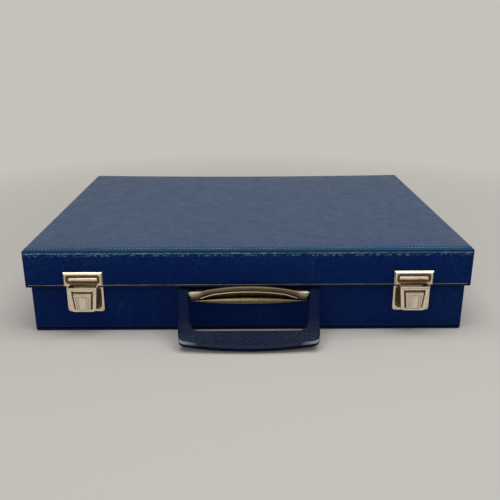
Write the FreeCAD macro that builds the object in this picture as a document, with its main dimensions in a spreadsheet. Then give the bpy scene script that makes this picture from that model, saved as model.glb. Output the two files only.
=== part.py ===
import FreeCAD, Part
import math
import os
import re
import Sketcher

# Travelling case for a hidden-fleet peg game: a covered board case with a hinged lid, a carrying handle and
# two press latches, holding two peg boards, five ships and the marker pegs.
# Frame: +X to the right, +Y to the back, +Z up, origin at the middle of the underside. Millimetres, degrees.

SIZES = {
    # Case
    "case_width": 400,
    "case_depth": 310,
    "case_height": 80,
    "lid_height": 35.5,
    "panel_thickness": 4,
    "wall_thickness": 2.4,
    "cover_thickness": 0.8,
    "corner_radius": 2.4,
    "edge_radius": 2,
    "edge_chamfer": 1,
    "lid_clearance": 0.6,
    "lip_height": 14,
    "seam_gap": 0.4,
    "hem_height": 1.6,
    "band_width": 9,
    # Fastening by bent prongs and by rivets
    "prong_width": 5,
    "prong_thickness": 1,
    "prong_tip": 4,
    "prong_clearance": 0.2,
    "prong_room": 1,
    "rivet_radius": 1.4,
    "rivet_clearance": 0.15,
    "rivet_head_radius": 2.4,
    "rivet_head_height": 0.9,
    # Latches
    "latch_inset": 52.5,
    "latch_sheet": 1,
    "keeper_width": 36.5,
    "keeper_height": 13,
    "keeper_lift": 2.9,
    "keeper_thickness": 1.2,
    "keeper_rim": 1.8,
    "keeper_relief": 0.8,
    "keeper_prong_spacing": 22,
    "bead_length": 28,
    "bead_height": 5,
    "bead_corner": 1.5,
    "neck_width": 25,
    "neck_gap": 0.3,
    "tongue_width": 20,
    "tongue_reach": 6.5,
    "flange_width": 33,
    "flange_height": 24,
    "flange_drop": 0.5,
    "flange_corner": 2.5,
    "flange_rivet_spacing": 28.4,
    "flange_rivet_inset": 3,
    "housing_width": 26.6,
    "housing_foot_width": 22,
    "housing_height": 20.6,
    "housing_rise": 2.5,
    "housing_depth": 10.6,
    "housing_corner": 3,
    "window_width": 17.6,
    "window_foot_width": 14.4,
    "window_height": 16.6,
    "window_drop": 2.2,
    "button_clearance": 0.25,
    "button_stand": 0.8,
    "button_depth": 3.4,
    "button_margin": 1,
    "groove_width": 0.7,
    "groove_depth": 0.5,
    "groove_pitch": 1.8,
    "groove_inset": 1.6,
    "catch_width": 8,
    "catch_thickness": 0.8,
    "catch_gap": 0.4,
    "catch_rise": 5,
    "spring_width": 6,
    "spring_thickness": 0.5,
    "spring_foot": 4,
    "spring_drop": 8,
    "spring_gap": 0.1,
    # Handle and its bracket
    "handle_drop": 4.9,
    "handle_reach": 7.6,
    "handle_lean": 44.8,
    "handle_width": 127,
    "handle_foot_width": 121,
    "handle_length": 52.7,
    "handle_bow": 4.8,
    "handle_thickness": 9,
    "handle_corner": 4.5,
    "handle_bevel": 2.2,
    "arm_width": 9.5,
    "opening_length": 36,
    "opening_foot_width": 101,
    "opening_corner": 8,
    "bracket_gap": 0.7,
    "bracket_sheet": 1.2,
    "hood_drop": 1.4,
    "bracket_plate_length": 96,
    "bracket_plate_rise": 3.6,
    "bracket_plate_drop": 11.5,
    "bracket_prong_spacing": 60,
    "bracket_prong_drop": 2,
    "brow_radius": 2.9,
    "brow_end_radius": 3.8,
    "brow_rise": 4.5,
    "brow_run": 44,
    "spindle_radius": 3.3,
    "spindle_straight": 20,
    "spindle_tip_radius": 0.4,
    "spindle_drop": 8.6,
    "spindle_reach": 3.6,
    "pivot_radius": 1.6,
    "pivot_clearance": 0.05,
    "pivot_depth": 12,
    "pivot_seat": 6,
    "backing_margin": 9,
    "backing_height": 14,
    "backing_thickness": 1,
    # Hinges
    "hinge_inset": 90,
    "hinge_length": 40,
    "leaf_height": 16,
    "leaf_thickness": 1.2,
    "knuckle_radius": 2.6,
    "knuckle_length": 11,
    "knuckle_gap": 0.4,
    "knuckle_clearance": 0.15,
    "hinge_pin_radius": 1.3,
    "hinge_pin_clearance": 0.05,
    "leaf_rivet_spacing": 26,
    "leaf_rivet_inset": 6,
    # Lid stays
    "stay_radius": 34,
    "stay_width": 5,
    "stay_thickness": 1.5,
    "stay_gap": 1.3,
    "stay_top_angle": 50,
    "stay_bottom_angle": 77,
    "stay_stop_angle": 2,
    "stay_stop_margin": 1,
    "stay_foot_size": 8,
    "stay_foot_angle": 45,
    "guide_height": 3,
    "guide_length": 14,
    "guide_wall": 1.2,
    "guide_clearance": 0.5,
    "guide_play": 1,
    # Peg boards and the tray
    "board_thickness": 3,
    "hole_pitch": 24,
    "hole_radius": 2,
    "insert_gap": 0.5,
    "ocean_width": 258,
    "ocean_level": 38,
    "target_lift": 1.5,
    "target_notch_depth": 9,
    "target_notch_length": 26,
    "stay_lane": 4,
    "divider_thickness": 2.4,
    "divider_drop": 4,
    "red_bay_length": 110,
    "cleat_width": 10,
    "block_size": 18,
    # Ships
    "ship_beam": 13,
    "ship_overhang": 9,
    "bow_length": 16,
    "hull_height": 6,
    "house_length": 11,
    "house_width": 7,
    "house_height": 3.5,
    "tower_width": 4,
    "tower_height": 4,
    "stem_radius": 1.7,
    "stem_length": 6,
    "socket_depth": 4,
    # Pegs
    "peg_head_radius": 2.8,
    "peg_head_height": 3,
    "peg_radius": 1.7,
    "peg_length": 9,
    "peg_spacing": 9,
    "peg_margin": 10,
}

GRID = 10
SHIPS = {"carrier": (5, 1, 8), "battleship": (4, 5, 5), "cruiser": (3, 2, 3), "submarine": (3, 6, 1),
         "patrol_boat": (2, 8, 8)}
WHITE_PEGS = (4, 4)
RED_PEGS = (4, 2)
ROUND = 10
SMALL_ROUND = 6
HOLE_ROUND = 5
BROW_STEPS = 4
BROW_SWELL_STEPS = 2
BAR_FACETS = 8
SIDES = {"left": -1, "right": 1}

# Places worked out from the sizes
SEAM = "(case_height - lid_height)"
SHELL = "(wall_thickness + cover_thickness)"
OVERHANG = f"({SHELL} + lid_clearance)"
BASE_WIDTH = f"(case_width - 2 * {OVERHANG})"
BASE_DEPTH = f"(case_depth - {OVERHANG})"
BACK = f"({BASE_DEPTH} / 2)"
FRONT = f"(-{BASE_DEPTH} / 2)"
LID_FRONT = f"({FRONT} - {OVERHANG})"
LID_MIDDLE = f"(({LID_FRONT} + {BACK}) / 2)"
LIP_TOP = f"({SEAM} + lip_height)"
PANEL_TOP = "(case_height - cover_thickness)"
LID_WALL_TOP = f"({PANEL_TOP} - panel_thickness)"
INSIDE_X = f"({BASE_WIDTH} / 2 - {SHELL})"
INSIDE_Y = f"({BASE_DEPTH} / 2 - {SHELL})"
LID_INSIDE_X = f"(case_width / 2 - {SHELL})"
LATCH_X = {side: f"({sign} * (case_width / 2 - latch_inset))" for side, sign in SIDES.items()}
KEEPER_MIDDLE = f"({SEAM} + keeper_lift + keeper_height / 2)"
TONGUE_BACK = f"({OVERHANG} + keeper_relief)"
TONGUE_FRONT = f"({TONGUE_BACK} + keeper_thickness)"
FLANGE_RIVET_Z = f"({SEAM} - flange_drop - flange_height + flange_rivet_inset)"
PIVOT_Y = f"({FRONT} - handle_reach)"
PIVOT_Z = f"({SEAM} - handle_drop)"
BRACKET_PRONG_Z = f"({PIVOT_Z} - bracket_prong_drop)"
BRACKET_HALF = "(handle_width / 2 - arm_width - bracket_gap)"
AXIS_Y = f"({BACK} + knuckle_radius)"
AXIS_Z = f"({SEAM} - seam_gap / 2)"
HINGE_X = [f"({sign} * (case_width / 2 - hinge_inset))" for sign in SIDES.values()]
LEAF_RIVET_RISE = "(leaf_height - leaf_rivet_inset)"
STAY_OUTER_X = f"({INSIDE_X} - stay_gap)"
STAY_INNER_X = f"({STAY_OUTER_X} - stay_thickness)"
GUIDE_Z = f"({LIP_TOP} - guide_height)"
GUIDE_Y = f"({AXIS_Y} - sqrt(stay_radius ^ 2 - ({GUIDE_Z} + guide_height / 2 - {AXIS_Z}) ^ 2))"
TARGET_Z = f"({LIP_TOP} + target_lift)"
OCEAN_LEFT = f"(-{INSIDE_X} + stay_lane)"
OCEAN_TOP = "(ocean_level + board_thickness)"
OCEAN_FRONT = f"(-{INSIDE_Y} + backing_thickness + prong_thickness + insert_gap)"
OCEAN_BACK = f"({INSIDE_Y} - rivet_head_height - insert_gap)"
DIVIDER_X = f"({OCEAN_LEFT} + ocean_width + insert_gap)"
BAY_LEFT = f"({DIVIDER_X} + divider_thickness)"
BAY_SPLIT = f"(-{INSIDE_Y} + red_bay_length)"
GRID_SPAN = f"(({GRID} - 1) * hole_pitch)"
GRID_X = f"({OCEAN_LEFT} + (ocean_width - {GRID_SPAN}) / 2)"
GRID_Y = f"(-{GRID_SPAN} / 2)"

doc = FreeCAD.newDocument("fleet_case")
sheet = doc.addObject("Spreadsheet::Sheet", "Sizes")
for row, (alias, size) in enumerate(SIZES.items(), start=1):
    sheet.set(f"A{row}", alias)
    sheet.set(f"B{row}", str(size))
    sheet.setAlias(f"B{row}", alias)
doc.recompute()

finished = []


# Helpers that bind geometry to the sheet

def formula(text):
    """The text as a document expression: each name in it becomes that cell of the sheet."""
    return re.sub(r"\b[a-z]+(?:_[a-z]+)+\b", r"Sizes.\g<0>", text)


def value(text):
    return float(sheet.evalExpression(formula(text)))


def bind(item, path, text):
    item.setExpression(path, formula(text))


def place(item, x="0", y="0", z="0"):
    for axis, text in zip("xyz", (x, y, z)):
        bind(item, f"Placement.Base.{axis}", text)


def new_body(label, export=True):
    body = doc.addObject("PartDesign::Body", label)
    body.Label = label
    if export:
        finished.append(body)
    return body


def sketch_on(body, name, plane, height="0"):
    """A sketch on one of the body's own origin planes, moved along the plane's normal by height."""
    sketch = body.newObject("Sketcher::SketchObject", f"{body.Name}_{name}")
    support = next(item for item in body.Origin.OriginFeatures if item.Role == plane)
    sketch.AttachmentSupport = [(support, "")]
    sketch.MapMode = "FlatFace"
    bind(sketch, "AttachmentOffset.Base.z", height)
    return sketch


def stretch(sketch, start, end, arc):
    """One straight or round stretch of an outline, with the numbers of its first and last point."""
    if arc is None:
        return sketch.addGeometry(Part.LineSegment(start, end), False), 1, 2
    radius, turn = value(arc[0]), arc[1]
    chord = end - start
    left = FreeCAD.Vector(-chord.y, chord.x, 0).normalize()
    centre = (start + end) * 0.5 + left * (turn * math.sqrt(max(radius ** 2 - chord.Length ** 2 / 4, 0)))
    angles = [math.atan2(spot.y - centre.y, spot.x - centre.x) for spot in (start, end)]
    circle = Part.Circle(centre, FreeCAD.Vector(0, 0, 1), radius)
    if turn > 0:
        return sketch.addGeometry(Part.ArcOfCircle(circle, angles[0], angles[1]), False), 1, 2
    return sketch.addGeometry(Part.ArcOfCircle(circle, angles[1], angles[0]), False), 2, 1


def outline(sketch, points, arcs=None, closed=True):
    """A line through points, each a pair of expressions. arcs gives the radius and turn (1 left, -1 right)
    of the stretch that starts at a point's number."""
    arcs = arcs or {}
    spots = [FreeCAD.Vector(value(x), value(y), 0) for x, y in points]
    count = len(points) if closed else len(points) - 1
    ends = [stretch(sketch, spots[k], spots[(k + 1) % len(spots)], arcs.get(k)) for k in range(count)]
    for k in range(count if closed else count - 1):
        here, after = ends[k], ends[(k + 1) % count]
        sketch.addConstraint(Sketcher.Constraint("Coincident", here[0], here[2], after[0], after[1]))
    handles = [(curve, first) for curve, first, _ in ends]
    if not closed:
        handles.append((ends[-1][0], ends[-1][2]))
    for (curve, point), (x, y), spot in zip(handles, points, spots):
        for kind, text, size in (("DistanceX", x, spot.x), ("DistanceY", y, spot.y)):
            number = sketch.addConstraint(Sketcher.Constraint(kind, -1, 1, curve, point, size))
            bind(sketch, f"Constraints[{number}]", text)
    for k, (radius, _) in arcs.items():
        number = sketch.addConstraint(Sketcher.Constraint("Radius", ends[k][0], value(radius)))
        bind(sketch, f"Constraints[{number}]", radius)


def rectangle(sketch, left, right, low, high):
    outline(sketch, [(left, low), (right, low), (right, high), (left, high)])


def block(sketch, x, y, width, height):
    """A rectangle about a middle point."""
    rectangle(sketch, f"{x} - {width} / 2", f"{x} + {width} / 2",
              f"{y} - {height} / 2", f"{y} + {height} / 2")


def corner_points(left, right, low, high, cut):
    """Where a rectangle's sides end when its corners are taken off, anticlockwise from the lower left."""
    return [(f"{left} + {cut}", low), (f"{right} - {cut}", low),
            (right, f"{low} + {cut}"), (right, f"{high} - {cut}"),
            (f"{right} - {cut}", high), (f"{left} + {cut}", high),
            (left, f"{high} - {cut}"), (left, f"{low} + {cut}")]


def rounded_block(sketch, x, y, width, height, radius):
    left, right = f"({x} - {width} / 2)", f"({x} + {width} / 2)"
    low, high = f"({y} - {height} / 2)", f"({y} + {height} / 2)"
    outline(sketch, corner_points(left, right, low, high, radius), {k: (radius, 1) for k in (1, 3, 5, 7)})


def cut_block(sketch, x, y, width, height, cut):
    """A rectangle about a middle point with its corners cut off."""
    left, right = f"({x} - {width} / 2)", f"({x} + {width} / 2)"
    low, high = f"({y} - {height} / 2)", f"({y} + {height} / 2)"
    outline(sketch, corner_points(left, right, low, high, cut))


def polygon(sketch, x, y, inner_radius, sides):
    """A regular polygon measured across its flats, which stands in for a small round hole or stud."""
    reach = f"({inner_radius}) / cos({180 / sides} deg)"
    turns = [f"{(k + 0.5) * 360 / sides} deg" for k in range(sides)]
    outline(sketch, [(f"{x} + {reach} * cos({turn})", f"{y} + {reach} * sin({turn})") for turn in turns])


def refresh(*items):
    for item in items:
        item.recompute()


def pad(body, sketch, length, reverse=False, both=False):
    feature = body.newObject("PartDesign::Pad", f"{sketch.Name}_pad")
    feature.Profile = sketch
    bind(feature, "Length", length)
    feature.Reversed = reverse
    feature.Midplane = both
    refresh(sketch, feature)
    return feature


def pocket(body, sketch, length=None, reverse=False, both=False):
    """Cut the sketch out, right through where no length is given, and make sure that it met the solid."""
    before = body.Tip.Shape.Volume
    feature = body.newObject("PartDesign::Pocket", f"{sketch.Name}_pocket")
    feature.Profile = sketch
    feature.Type = "Length" if length else "ThroughAll"
    if length:
        bind(feature, "Length", length)
    feature.Reversed = reverse
    feature.Midplane = both
    refresh(sketch, feature)
    if feature.Shape.Volume >= before:
        raise ValueError(f"{feature.Name} cuts nothing")
    return feature


def dress(body, kind, size_name, size, chosen):
    """Round or bevel (Fillet or Chamfer) the edges of the last feature that the chosen test accepts."""
    base = body.Tip
    names = [f"Edge{k}" for k, edge in enumerate(base.Shape.Edges, start=1) if chosen(edge)]
    feature = body.newObject(f"PartDesign::{kind}", f"{body.Name}_{kind.lower()}_{len(body.Group)}")
    feature.Base = (base, names)
    bind(feature, size_name, size)
    refresh(feature)


def fillet(body, radius, chosen):
    dress(body, "Fillet", "Radius", radius, chosen)


def lies_at(edge, axis, text):
    """True for an edge whose every point has the given coordinate."""
    box = edge.BoundBox
    spot = value(text)
    low, high = getattr(box, f"{axis}Min"), getattr(box, f"{axis}Max")
    return abs(low - spot) < 1e-4 and abs(high - spot) < 1e-4


def group(label, master, spots, turn=0):
    """One node holding a copy of the master at each spot, each copy a solid of its own."""
    links = []
    for k, (x, y, z) in enumerate(spots, start=1):
        link = doc.addObject("App::Link", f"{label}_{k}")
        link.LinkedObject = master
        link.Placement = FreeCAD.Placement(FreeCAD.Vector(), FreeCAD.Rotation(FreeCAD.Vector(0, 0, 1), turn))
        place(link, x, y, z)
        links.append(link)
    compound = doc.addObject("Part::Compound", label)
    compound.Label = label
    compound.Links = links
    finished.append(compound)


# Case boards and covers

def bottom_panel():
    """Covered board under the base, with round corners and a bevelled lower edge."""
    body = new_body("base_bottom_panel")
    plan = sketch_on(body, "plan", "XY_Plane")
    rounded_block(plan, "0", "0", BASE_WIDTH, BASE_DEPTH, "corner_radius")
    pad(body, plan, "panel_thickness")
    dress(body, "Chamfer", "Size", "edge_chamfer", lambda edge: lies_at(edge, "Z", "0"))


def top_panel():
    """Covered board on the lid, with its front top edge rounded for the band that is folded over it."""
    body = new_body("lid_top_panel")
    plan = sketch_on(body, "plan", "XY_Plane", LID_WALL_TOP)
    rounded_block(plan, "0", LID_MIDDLE, "case_width", "case_depth", "corner_radius")
    pad(body, plan, "panel_thickness")
    corner = sketch_on(body, "front_edge", "YZ_Plane")
    outline(corner, [(LID_FRONT, f"{PANEL_TOP} - edge_radius"), (f"{LID_FRONT} + edge_radius", PANEL_TOP),
                     (LID_FRONT, PANEL_TOP)], {0: ("edge_radius", -1)})
    pocket(body, corner, "2 * case_width", both=True)


def ring(label, y, width, depth, thickness, radius, bottom, top):
    """Four walls in one strip, bent round the corners. radius is None for square outer corners."""
    body = new_body(label)
    plan = sketch_on(body, "plan", "XY_Plane", bottom)
    if radius:
        rounded_block(plan, "0", y, width, depth, radius)
    else:
        block(plan, "0", y, width, depth)
    block(plan, "0", y, f"({width} - 2 * {thickness})", f"({depth} - 2 * {thickness})")
    pad(body, plan, f"{top} - {bottom}")
    return body


def back_step(body):
    """Lower the back wall to the seam, where the lid's own back wall stands above it."""
    side = sketch_on(body, "back_step", "YZ_Plane")
    rectangle(side, f"{BACK} - {OVERHANG}", f"{BACK} + panel_thickness", f"{SEAM} - seam_gap",
              f"{LIP_TOP} + panel_thickness")
    pocket(body, side, "2 * case_width", both=True)


def fastener_holes(body, name, to_back, rivets, prongs):
    """Holes for rivets and slots for prongs through the front or the back wall."""
    face = sketch_on(body, name, "XZ_Plane")
    for x, z in rivets:
        polygon(face, x, z, "(rivet_radius + rivet_clearance)", SMALL_ROUND)
    for x, z in prongs:
        block(face, x, z, "(prong_width + 2 * prong_clearance)", "(prong_thickness + 2 * prong_clearance)")
    pocket(body, face, reverse=not to_back)


def lip_notches(body):
    """Room in the base's lip for the prongs that hold the keepers to the lid."""
    face = sketch_on(body, "lip_notches", "XZ_Plane")
    for x in LATCH_X.values():
        half = "(keeper_prong_spacing / 2 + prong_width / 2 + prong_room)"
        rectangle(face, f"{x} - {half}", f"{x} + {half}",
                  f"{KEEPER_MIDDLE} - prong_thickness / 2 - prong_room", f"{LIP_TOP} + panel_thickness")
    pocket(body, face, reverse=True)


def pair(x, spacing, z):
    return [(f"({x} + {sign} * {spacing} / 2)", z) for sign in SIDES.values()]


def leaf_rivets(sign):
    """Places of the hinge rivets, below the axis for -1 and above it for 1."""
    height = f"({AXIS_Z} + {sign} * {LEAF_RIVET_RISE})"
    return [spot for x in HINGE_X for spot in pair(x, "leaf_rivet_spacing", height)]


flange_rivets = [spot for x in LATCH_X.values() for spot in pair(x, "flange_rivet_spacing", FLANGE_RIVET_Z)]
keeper_prongs = [spot for x in LATCH_X.values() for spot in pair(x, "keeper_prong_spacing", KEEPER_MIDDLE)]
bracket_prongs = pair("0", "bracket_prong_spacing", BRACKET_PRONG_Z)


def base_walls():
    frame = ring("base_wall_frame", "0", f"({BASE_WIDTH} - 2 * cover_thickness)",
                 f"({BASE_DEPTH} - 2 * cover_thickness)", "wall_thickness", None, "panel_thickness", LIP_TOP)
    cover = ring("base_wall_cover", "0", BASE_WIDTH, BASE_DEPTH, "cover_thickness", "corner_radius",
                 "panel_thickness", LIP_TOP)
    for body in (frame, cover):
        back_step(body)
        lip_notches(body)
        fastener_holes(body, "front_holes", False, flange_rivets, bracket_prongs)
        fastener_holes(body, "back_holes", True, leaf_rivets(-1), [])


def lid_walls():
    hem_top = f"({SEAM} + hem_height)"
    frame = ring("lid_wall_frame", LID_MIDDLE, "(case_width - 2 * cover_thickness)",
                 "(case_depth - 2 * cover_thickness)", "wall_thickness", None, SEAM, LID_WALL_TOP)
    cover = ring("lid_wall_cover", LID_MIDDLE, "case_width", "case_depth", "cover_thickness", "corner_radius",
                 hem_top, LID_WALL_TOP)
    ring("lid_edge_binding", LID_MIDDLE, "case_width", "case_depth", "cover_thickness", "corner_radius",
         SEAM, hem_top)
    for body in (frame, cover):
        fastener_holes(body, "front_holes", False, [], keeper_prongs)
        fastener_holes(body, "back_holes", True, leaf_rivets(1), [])


def front_band():
    """Strip of cover folded over the lid's front top edge."""
    body = new_body("lid_front_band")
    side = sketch_on(body, "fold", "YZ_Plane")
    bend = "(edge_radius + cover_thickness)"
    skin = "cover_thickness"
    points = [(LID_FRONT, LID_WALL_TOP), (LID_FRONT, f"{PANEL_TOP} - edge_radius"),
              (f"{LID_FRONT} + edge_radius", PANEL_TOP), (f"{LID_FRONT} + band_width", PANEL_TOP),
              (f"{LID_FRONT} + band_width", f"{PANEL_TOP} + {skin}"),
              (f"{LID_FRONT} + edge_radius", f"{PANEL_TOP} + {skin}"),
              (f"{LID_FRONT} - {skin}", f"{PANEL_TOP} - edge_radius"),
              (f"{LID_FRONT} - {skin}", LID_WALL_TOP)]
    outline(side, points, {1: ("edge_radius", -1), 5: (bend, 1)})
    pad(body, side, "case_width - 2 * corner_radius", both=True)


# Parts that the latches, bracket and hinges share

def prong(body, x, z, front, through):
    """A flat tab that passes back through the wall and is bent up against its inside."""
    side = sketch_on(body, f"prong_{len(body.Group)}", "YZ_Plane", x)
    low, high = f"({z} - prong_thickness / 2)", f"({z} + prong_thickness / 2)"
    tip = f"({through} + prong_thickness)"
    outline(side, [(front, low), (tip, low), (tip, f"{high} + prong_tip"), (through, f"{high} + prong_tip"),
                   (through, high), (front, high)])
    pad(body, side, "prong_width", both=True)


def rivet(label, grip):
    """A headed rivet along Y, its outer head's underside at the origin and its tail clenched at the grip."""
    body = new_body(label, export=False)
    shank = sketch_on(body, "shank", "XZ_Plane")
    polygon(shank, "0", "0", "rivet_radius", SMALL_ROUND)
    pad(body, shank, grip, reverse=True)
    head = sketch_on(body, "head", "XZ_Plane")
    polygon(head, "0", "0", "rivet_head_radius", SMALL_ROUND)
    pad(body, head, "rivet_head_height")
    tail = sketch_on(body, "tail", "XZ_Plane", f"-{grip}")
    polygon(tail, "0", "0", "rivet_head_radius", SMALL_ROUND)
    pad(body, tail, "rivet_head_height", reverse=True)
    return body


# Latches

def keeper(side):
    """Lid half of a latch: a framed plate with a raised bead and a tongue that drops into the housing."""
    body = new_body(f"latch_keeper_{side}")
    middle = "(keeper_lift + keeper_height / 2)"
    plate = sketch_on(body, "plate", "XZ_Plane")
    block(plate, "0", middle, "keeper_width", "keeper_height")
    pad(body, plate, "keeper_thickness")
    rim = sketch_on(body, "rim", "XZ_Plane", "keeper_thickness")
    block(rim, "0", middle, "keeper_width", "keeper_height")
    block(rim, "0", middle, "(keeper_width - 2 * keeper_rim)", "(keeper_height - 2 * keeper_rim)")
    pad(body, rim, "keeper_relief")
    bead = sketch_on(body, "bead", "XZ_Plane", "keeper_thickness")
    cut_block(bead, "0", middle, "bead_length", "bead_height", "bead_corner")
    pad(body, bead, "keeper_relief")
    tongue = sketch_on(body, "tongue", "XZ_Plane", "keeper_relief")
    neck, blade = "(neck_width / 2)", "(tongue_width / 2)"
    top = "keeper_lift + keeper_rim"
    outline(tongue, [(f"-{blade}", "-tongue_reach"), (blade, "-tongue_reach"), (blade, "neck_gap"),
                     (neck, "neck_gap"), (neck, top), (f"-{neck}", top), (f"-{neck}", "neck_gap"),
                     (f"-{blade}", "neck_gap")])
    pad(body, tongue, "keeper_thickness")
    for sign in SIDES.values():
        prong(body, f"{sign} * keeper_prong_spacing / 2", middle, "-keeper_thickness / 2", SHELL)
    place(body, LATCH_X[side], LID_FRONT, SEAM)


def back_plate(side):
    """Plate riveted to the base's front, which carries the latch's housing."""
    body = new_body(f"latch_back_plate_{side}")
    face = sketch_on(body, "plate", "XZ_Plane")
    half, low = "(flange_width / 2)", "(-flange_drop - flange_height)"
    inset, rise = "(flange_width / 2 - flange_corner)", f"({low} + flange_corner)"
    outline(face, [(f"-{inset}", low), (inset, low), (half, rise), (half, "-flange_drop"),
                   (f"-{half}", "-flange_drop"), (f"-{half}", rise)])
    pad(body, face, "latch_sheet")
    holes = sketch_on(body, "rivet_holes", "XZ_Plane")
    for x, z in pair("0", "flange_rivet_spacing", "(-flange_drop - flange_height + flange_rivet_inset)"):
        polygon(holes, x, z, "(rivet_radius + rivet_clearance)", SMALL_ROUND)
    pocket(body, holes, reverse=True)
    place(body, LATCH_X[side], FRONT, SEAM)


def housing_outline(sketch, inset, rise):
    """The housing's front view, tapered towards round lower corners, drawn in by inset."""
    top, foot = f"(housing_width / 2 - {inset})", f"(housing_foot_width / 2 - {inset})"
    low = f"(-housing_height + {inset})"
    radius = f"(housing_corner - {inset})"
    lean = "atan((housing_width - housing_foot_width) / 2 / (housing_height + housing_rise))"
    cut = f"({radius} * tan(45 deg - {lean} / 2))"
    side_x, side_z = f"({foot} + {cut} * sin({lean}))", f"({low} + {cut} * cos({lean}))"
    points = [(f"-{foot} + {cut}", low), (f"{foot} - {cut}", low), (side_x, side_z), (top, rise),
              (f"-{top}", rise), (f"-{side_x}", side_z)]
    outline(sketch, points, {1: (radius, 1), 5: (radius, 1)})


def tapered(sketch, margin, low, high):
    """The window's outline, narrower at its foot, widened by a margin at its sides, from low to high."""
    top, foot = f"(window_width / 2 + {margin})", f"(window_foot_width / 2 + {margin})"
    outline(sketch, [(f"-{foot}", low), (foot, low), (top, high), (f"-{top}", high)])


def housing(side):
    """Base half of a latch: a tapered pressed box, open above for the tongue, with the button's window."""
    body = new_body(f"latch_housing_{side}")
    shell = sketch_on(body, "shell", "XZ_Plane", "latch_sheet")
    housing_outline(shell, "0", "housing_rise")
    pad(body, shell, "housing_depth")
    hollow = sketch_on(body, "hollow", "XZ_Plane", "latch_sheet")
    housing_outline(hollow, "latch_sheet", "(housing_rise + latch_sheet)")
    pocket(body, hollow, "housing_depth - latch_sheet", reverse=True)
    window = sketch_on(body, "window", "XZ_Plane")
    tapered(window, "0", "-window_drop - window_height", "-window_drop")
    pocket(body, window, reverse=True)
    relief = sketch_on(body, "lid_relief", "YZ_Plane")
    rectangle(relief, f"-{TONGUE_FRONT} - lid_clearance", "latch_sheet", "-flange_drop",
              "housing_rise + latch_sheet")
    pocket(body, relief, "2 * housing_width", both=True)
    place(body, LATCH_X[side], FRONT, SEAM)


HOUSING_FACE = "(latch_sheet + housing_depth)"
BUTTON_FRONT = f"({HOUSING_FACE} + button_stand)"
BUTTON_BACK = f"({BUTTON_FRONT} - button_depth)"


def button(side):
    """Ribbed press plate that fills the housing's window, kept in by a margin behind the window's edge."""
    body = new_body(f"latch_button_{side}")
    low, high = "(-window_drop - window_height + button_clearance)", "(-window_drop - button_clearance)"
    face = sketch_on(body, "face", "XZ_Plane", BUTTON_BACK)
    tapered(face, "(-button_clearance)", low, high)
    pad(body, face, "button_depth")
    margin = sketch_on(body, "margin", "XZ_Plane", BUTTON_BACK)
    tapered(margin, "(button_margin / 2)", f"{low} - button_margin / 2", f"{high} + button_margin / 2")
    pad(body, margin, "button_depth - button_stand - latch_sheet - button_clearance")
    grooves = sketch_on(body, "grooves", "XZ_Plane", BUTTON_FRONT)
    foot, head = f"({low} + groove_width)", f"({high} - groove_width)"
    for sign in SIDES.values():
        for step in (0, 1):
            inset = f"(groove_inset + {step} * groove_pitch)"
            under = f"({sign} * (window_foot_width / 2 - {inset}))"
            over = f"({sign} * (window_width / 2 - {inset}))"
            outline(grooves, [(f"{under} - groove_width / 2", foot), (f"{under} + groove_width / 2", foot),
                              (f"{over} + groove_width / 2", head), (f"{over} - groove_width / 2", head)])
    pocket(body, grooves, "groove_depth")
    place(body, LATCH_X[side], FRONT, SEAM)


def catch(side):
    """Hooked strip on the button's back that passes under the tongue and stands up behind it."""
    body = new_body(f"latch_catch_{side}")
    profile = sketch_on(body, "hook", "YZ_Plane")
    under = "(-tongue_reach - catch_gap - catch_thickness)"
    front, back = f"(-{BUTTON_BACK})", f"(-{TONGUE_BACK} + catch_gap + catch_thickness)"
    inner, floor = f"({front} + catch_thickness)", f"({under} - catch_thickness)"
    outline(profile, [(front, floor), (inner, floor), (inner, under), (back, under),
                      (back, f"{under} + catch_rise"), (f"{back} - catch_thickness", f"{under} + catch_rise"),
                      (f"{back} - catch_thickness", f"{under} + catch_thickness"),
                      (front, f"{under} + catch_thickness")])
    pad(body, profile, "catch_width", both=True)
    place(body, LATCH_X[side], FRONT, SEAM)


def spring(side):
    """Bent leaf on the back plate whose free end bears on the button."""
    body = new_body(f"latch_spring_{side}")
    profile = sketch_on(body, "leaf", "YZ_Plane")
    low = "(-flange_drop - flange_height + flange_rivet_inset + spring_foot / 2)"
    knee = f"({low} + spring_foot)"
    top = f"({knee} + spring_drop / 2)"
    seat, tip = "(-latch_sheet)", f"(-{BUTTON_BACK} + spring_gap)"
    behind, tip_top = f"({tip} + spring_thickness)", f"({top} + 2 * spring_thickness)"
    outline(profile, [(seat, low), (seat, f"{knee} + spring_thickness"),
                      (behind, f"{top} + spring_thickness"), (behind, tip_top), (tip, tip_top),
                      (tip, f"{top} - spring_thickness / 2"),
                      (f"{seat} - spring_thickness", f"{knee} - spring_thickness / 2"),
                      (f"{seat} - spring_thickness", low)])
    pad(body, profile, "spring_width", both=True)
    place(body, LATCH_X[side], FRONT, SEAM)


# Handle and its bracket

def brow_stations():
    """Places along the brow from its left end to its right: x, rise and radius. The brow is level at its ends
    and arched over the middle, and swells towards its ends below an even top line."""
    stations = []
    for step in range(BROW_STEPS + 1):
        swell = max(0, step - BROW_STEPS + BROW_SWELL_STEPS) / BROW_SWELL_STEPS
        radius = f"(brow_radius + {swell} * (brow_end_radius - brow_radius))"
        arch = f"(brow_rise * (1 + cos({180 * step / BROW_STEPS} deg)) / 2)"
        stations.append((f"({step / BROW_STEPS} * brow_run)", f"({arch} + brow_radius - {radius})", radius))
    stations.append((BRACKET_HALF, "(brow_radius - brow_end_radius)", "brow_end_radius"))
    return [(f"(-{x})", rise, radius) for x, rise, radius in stations[:0:-1]] + stations


def loft(body, name, sections):
    feature = body.newObject("PartDesign::AdditiveLoft", f"{body.Name}_{name}")
    feature.Profile = sections[0]
    feature.Sections = sections[1:]
    feature.Ruled = True
    refresh(*sections, feature)


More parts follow.
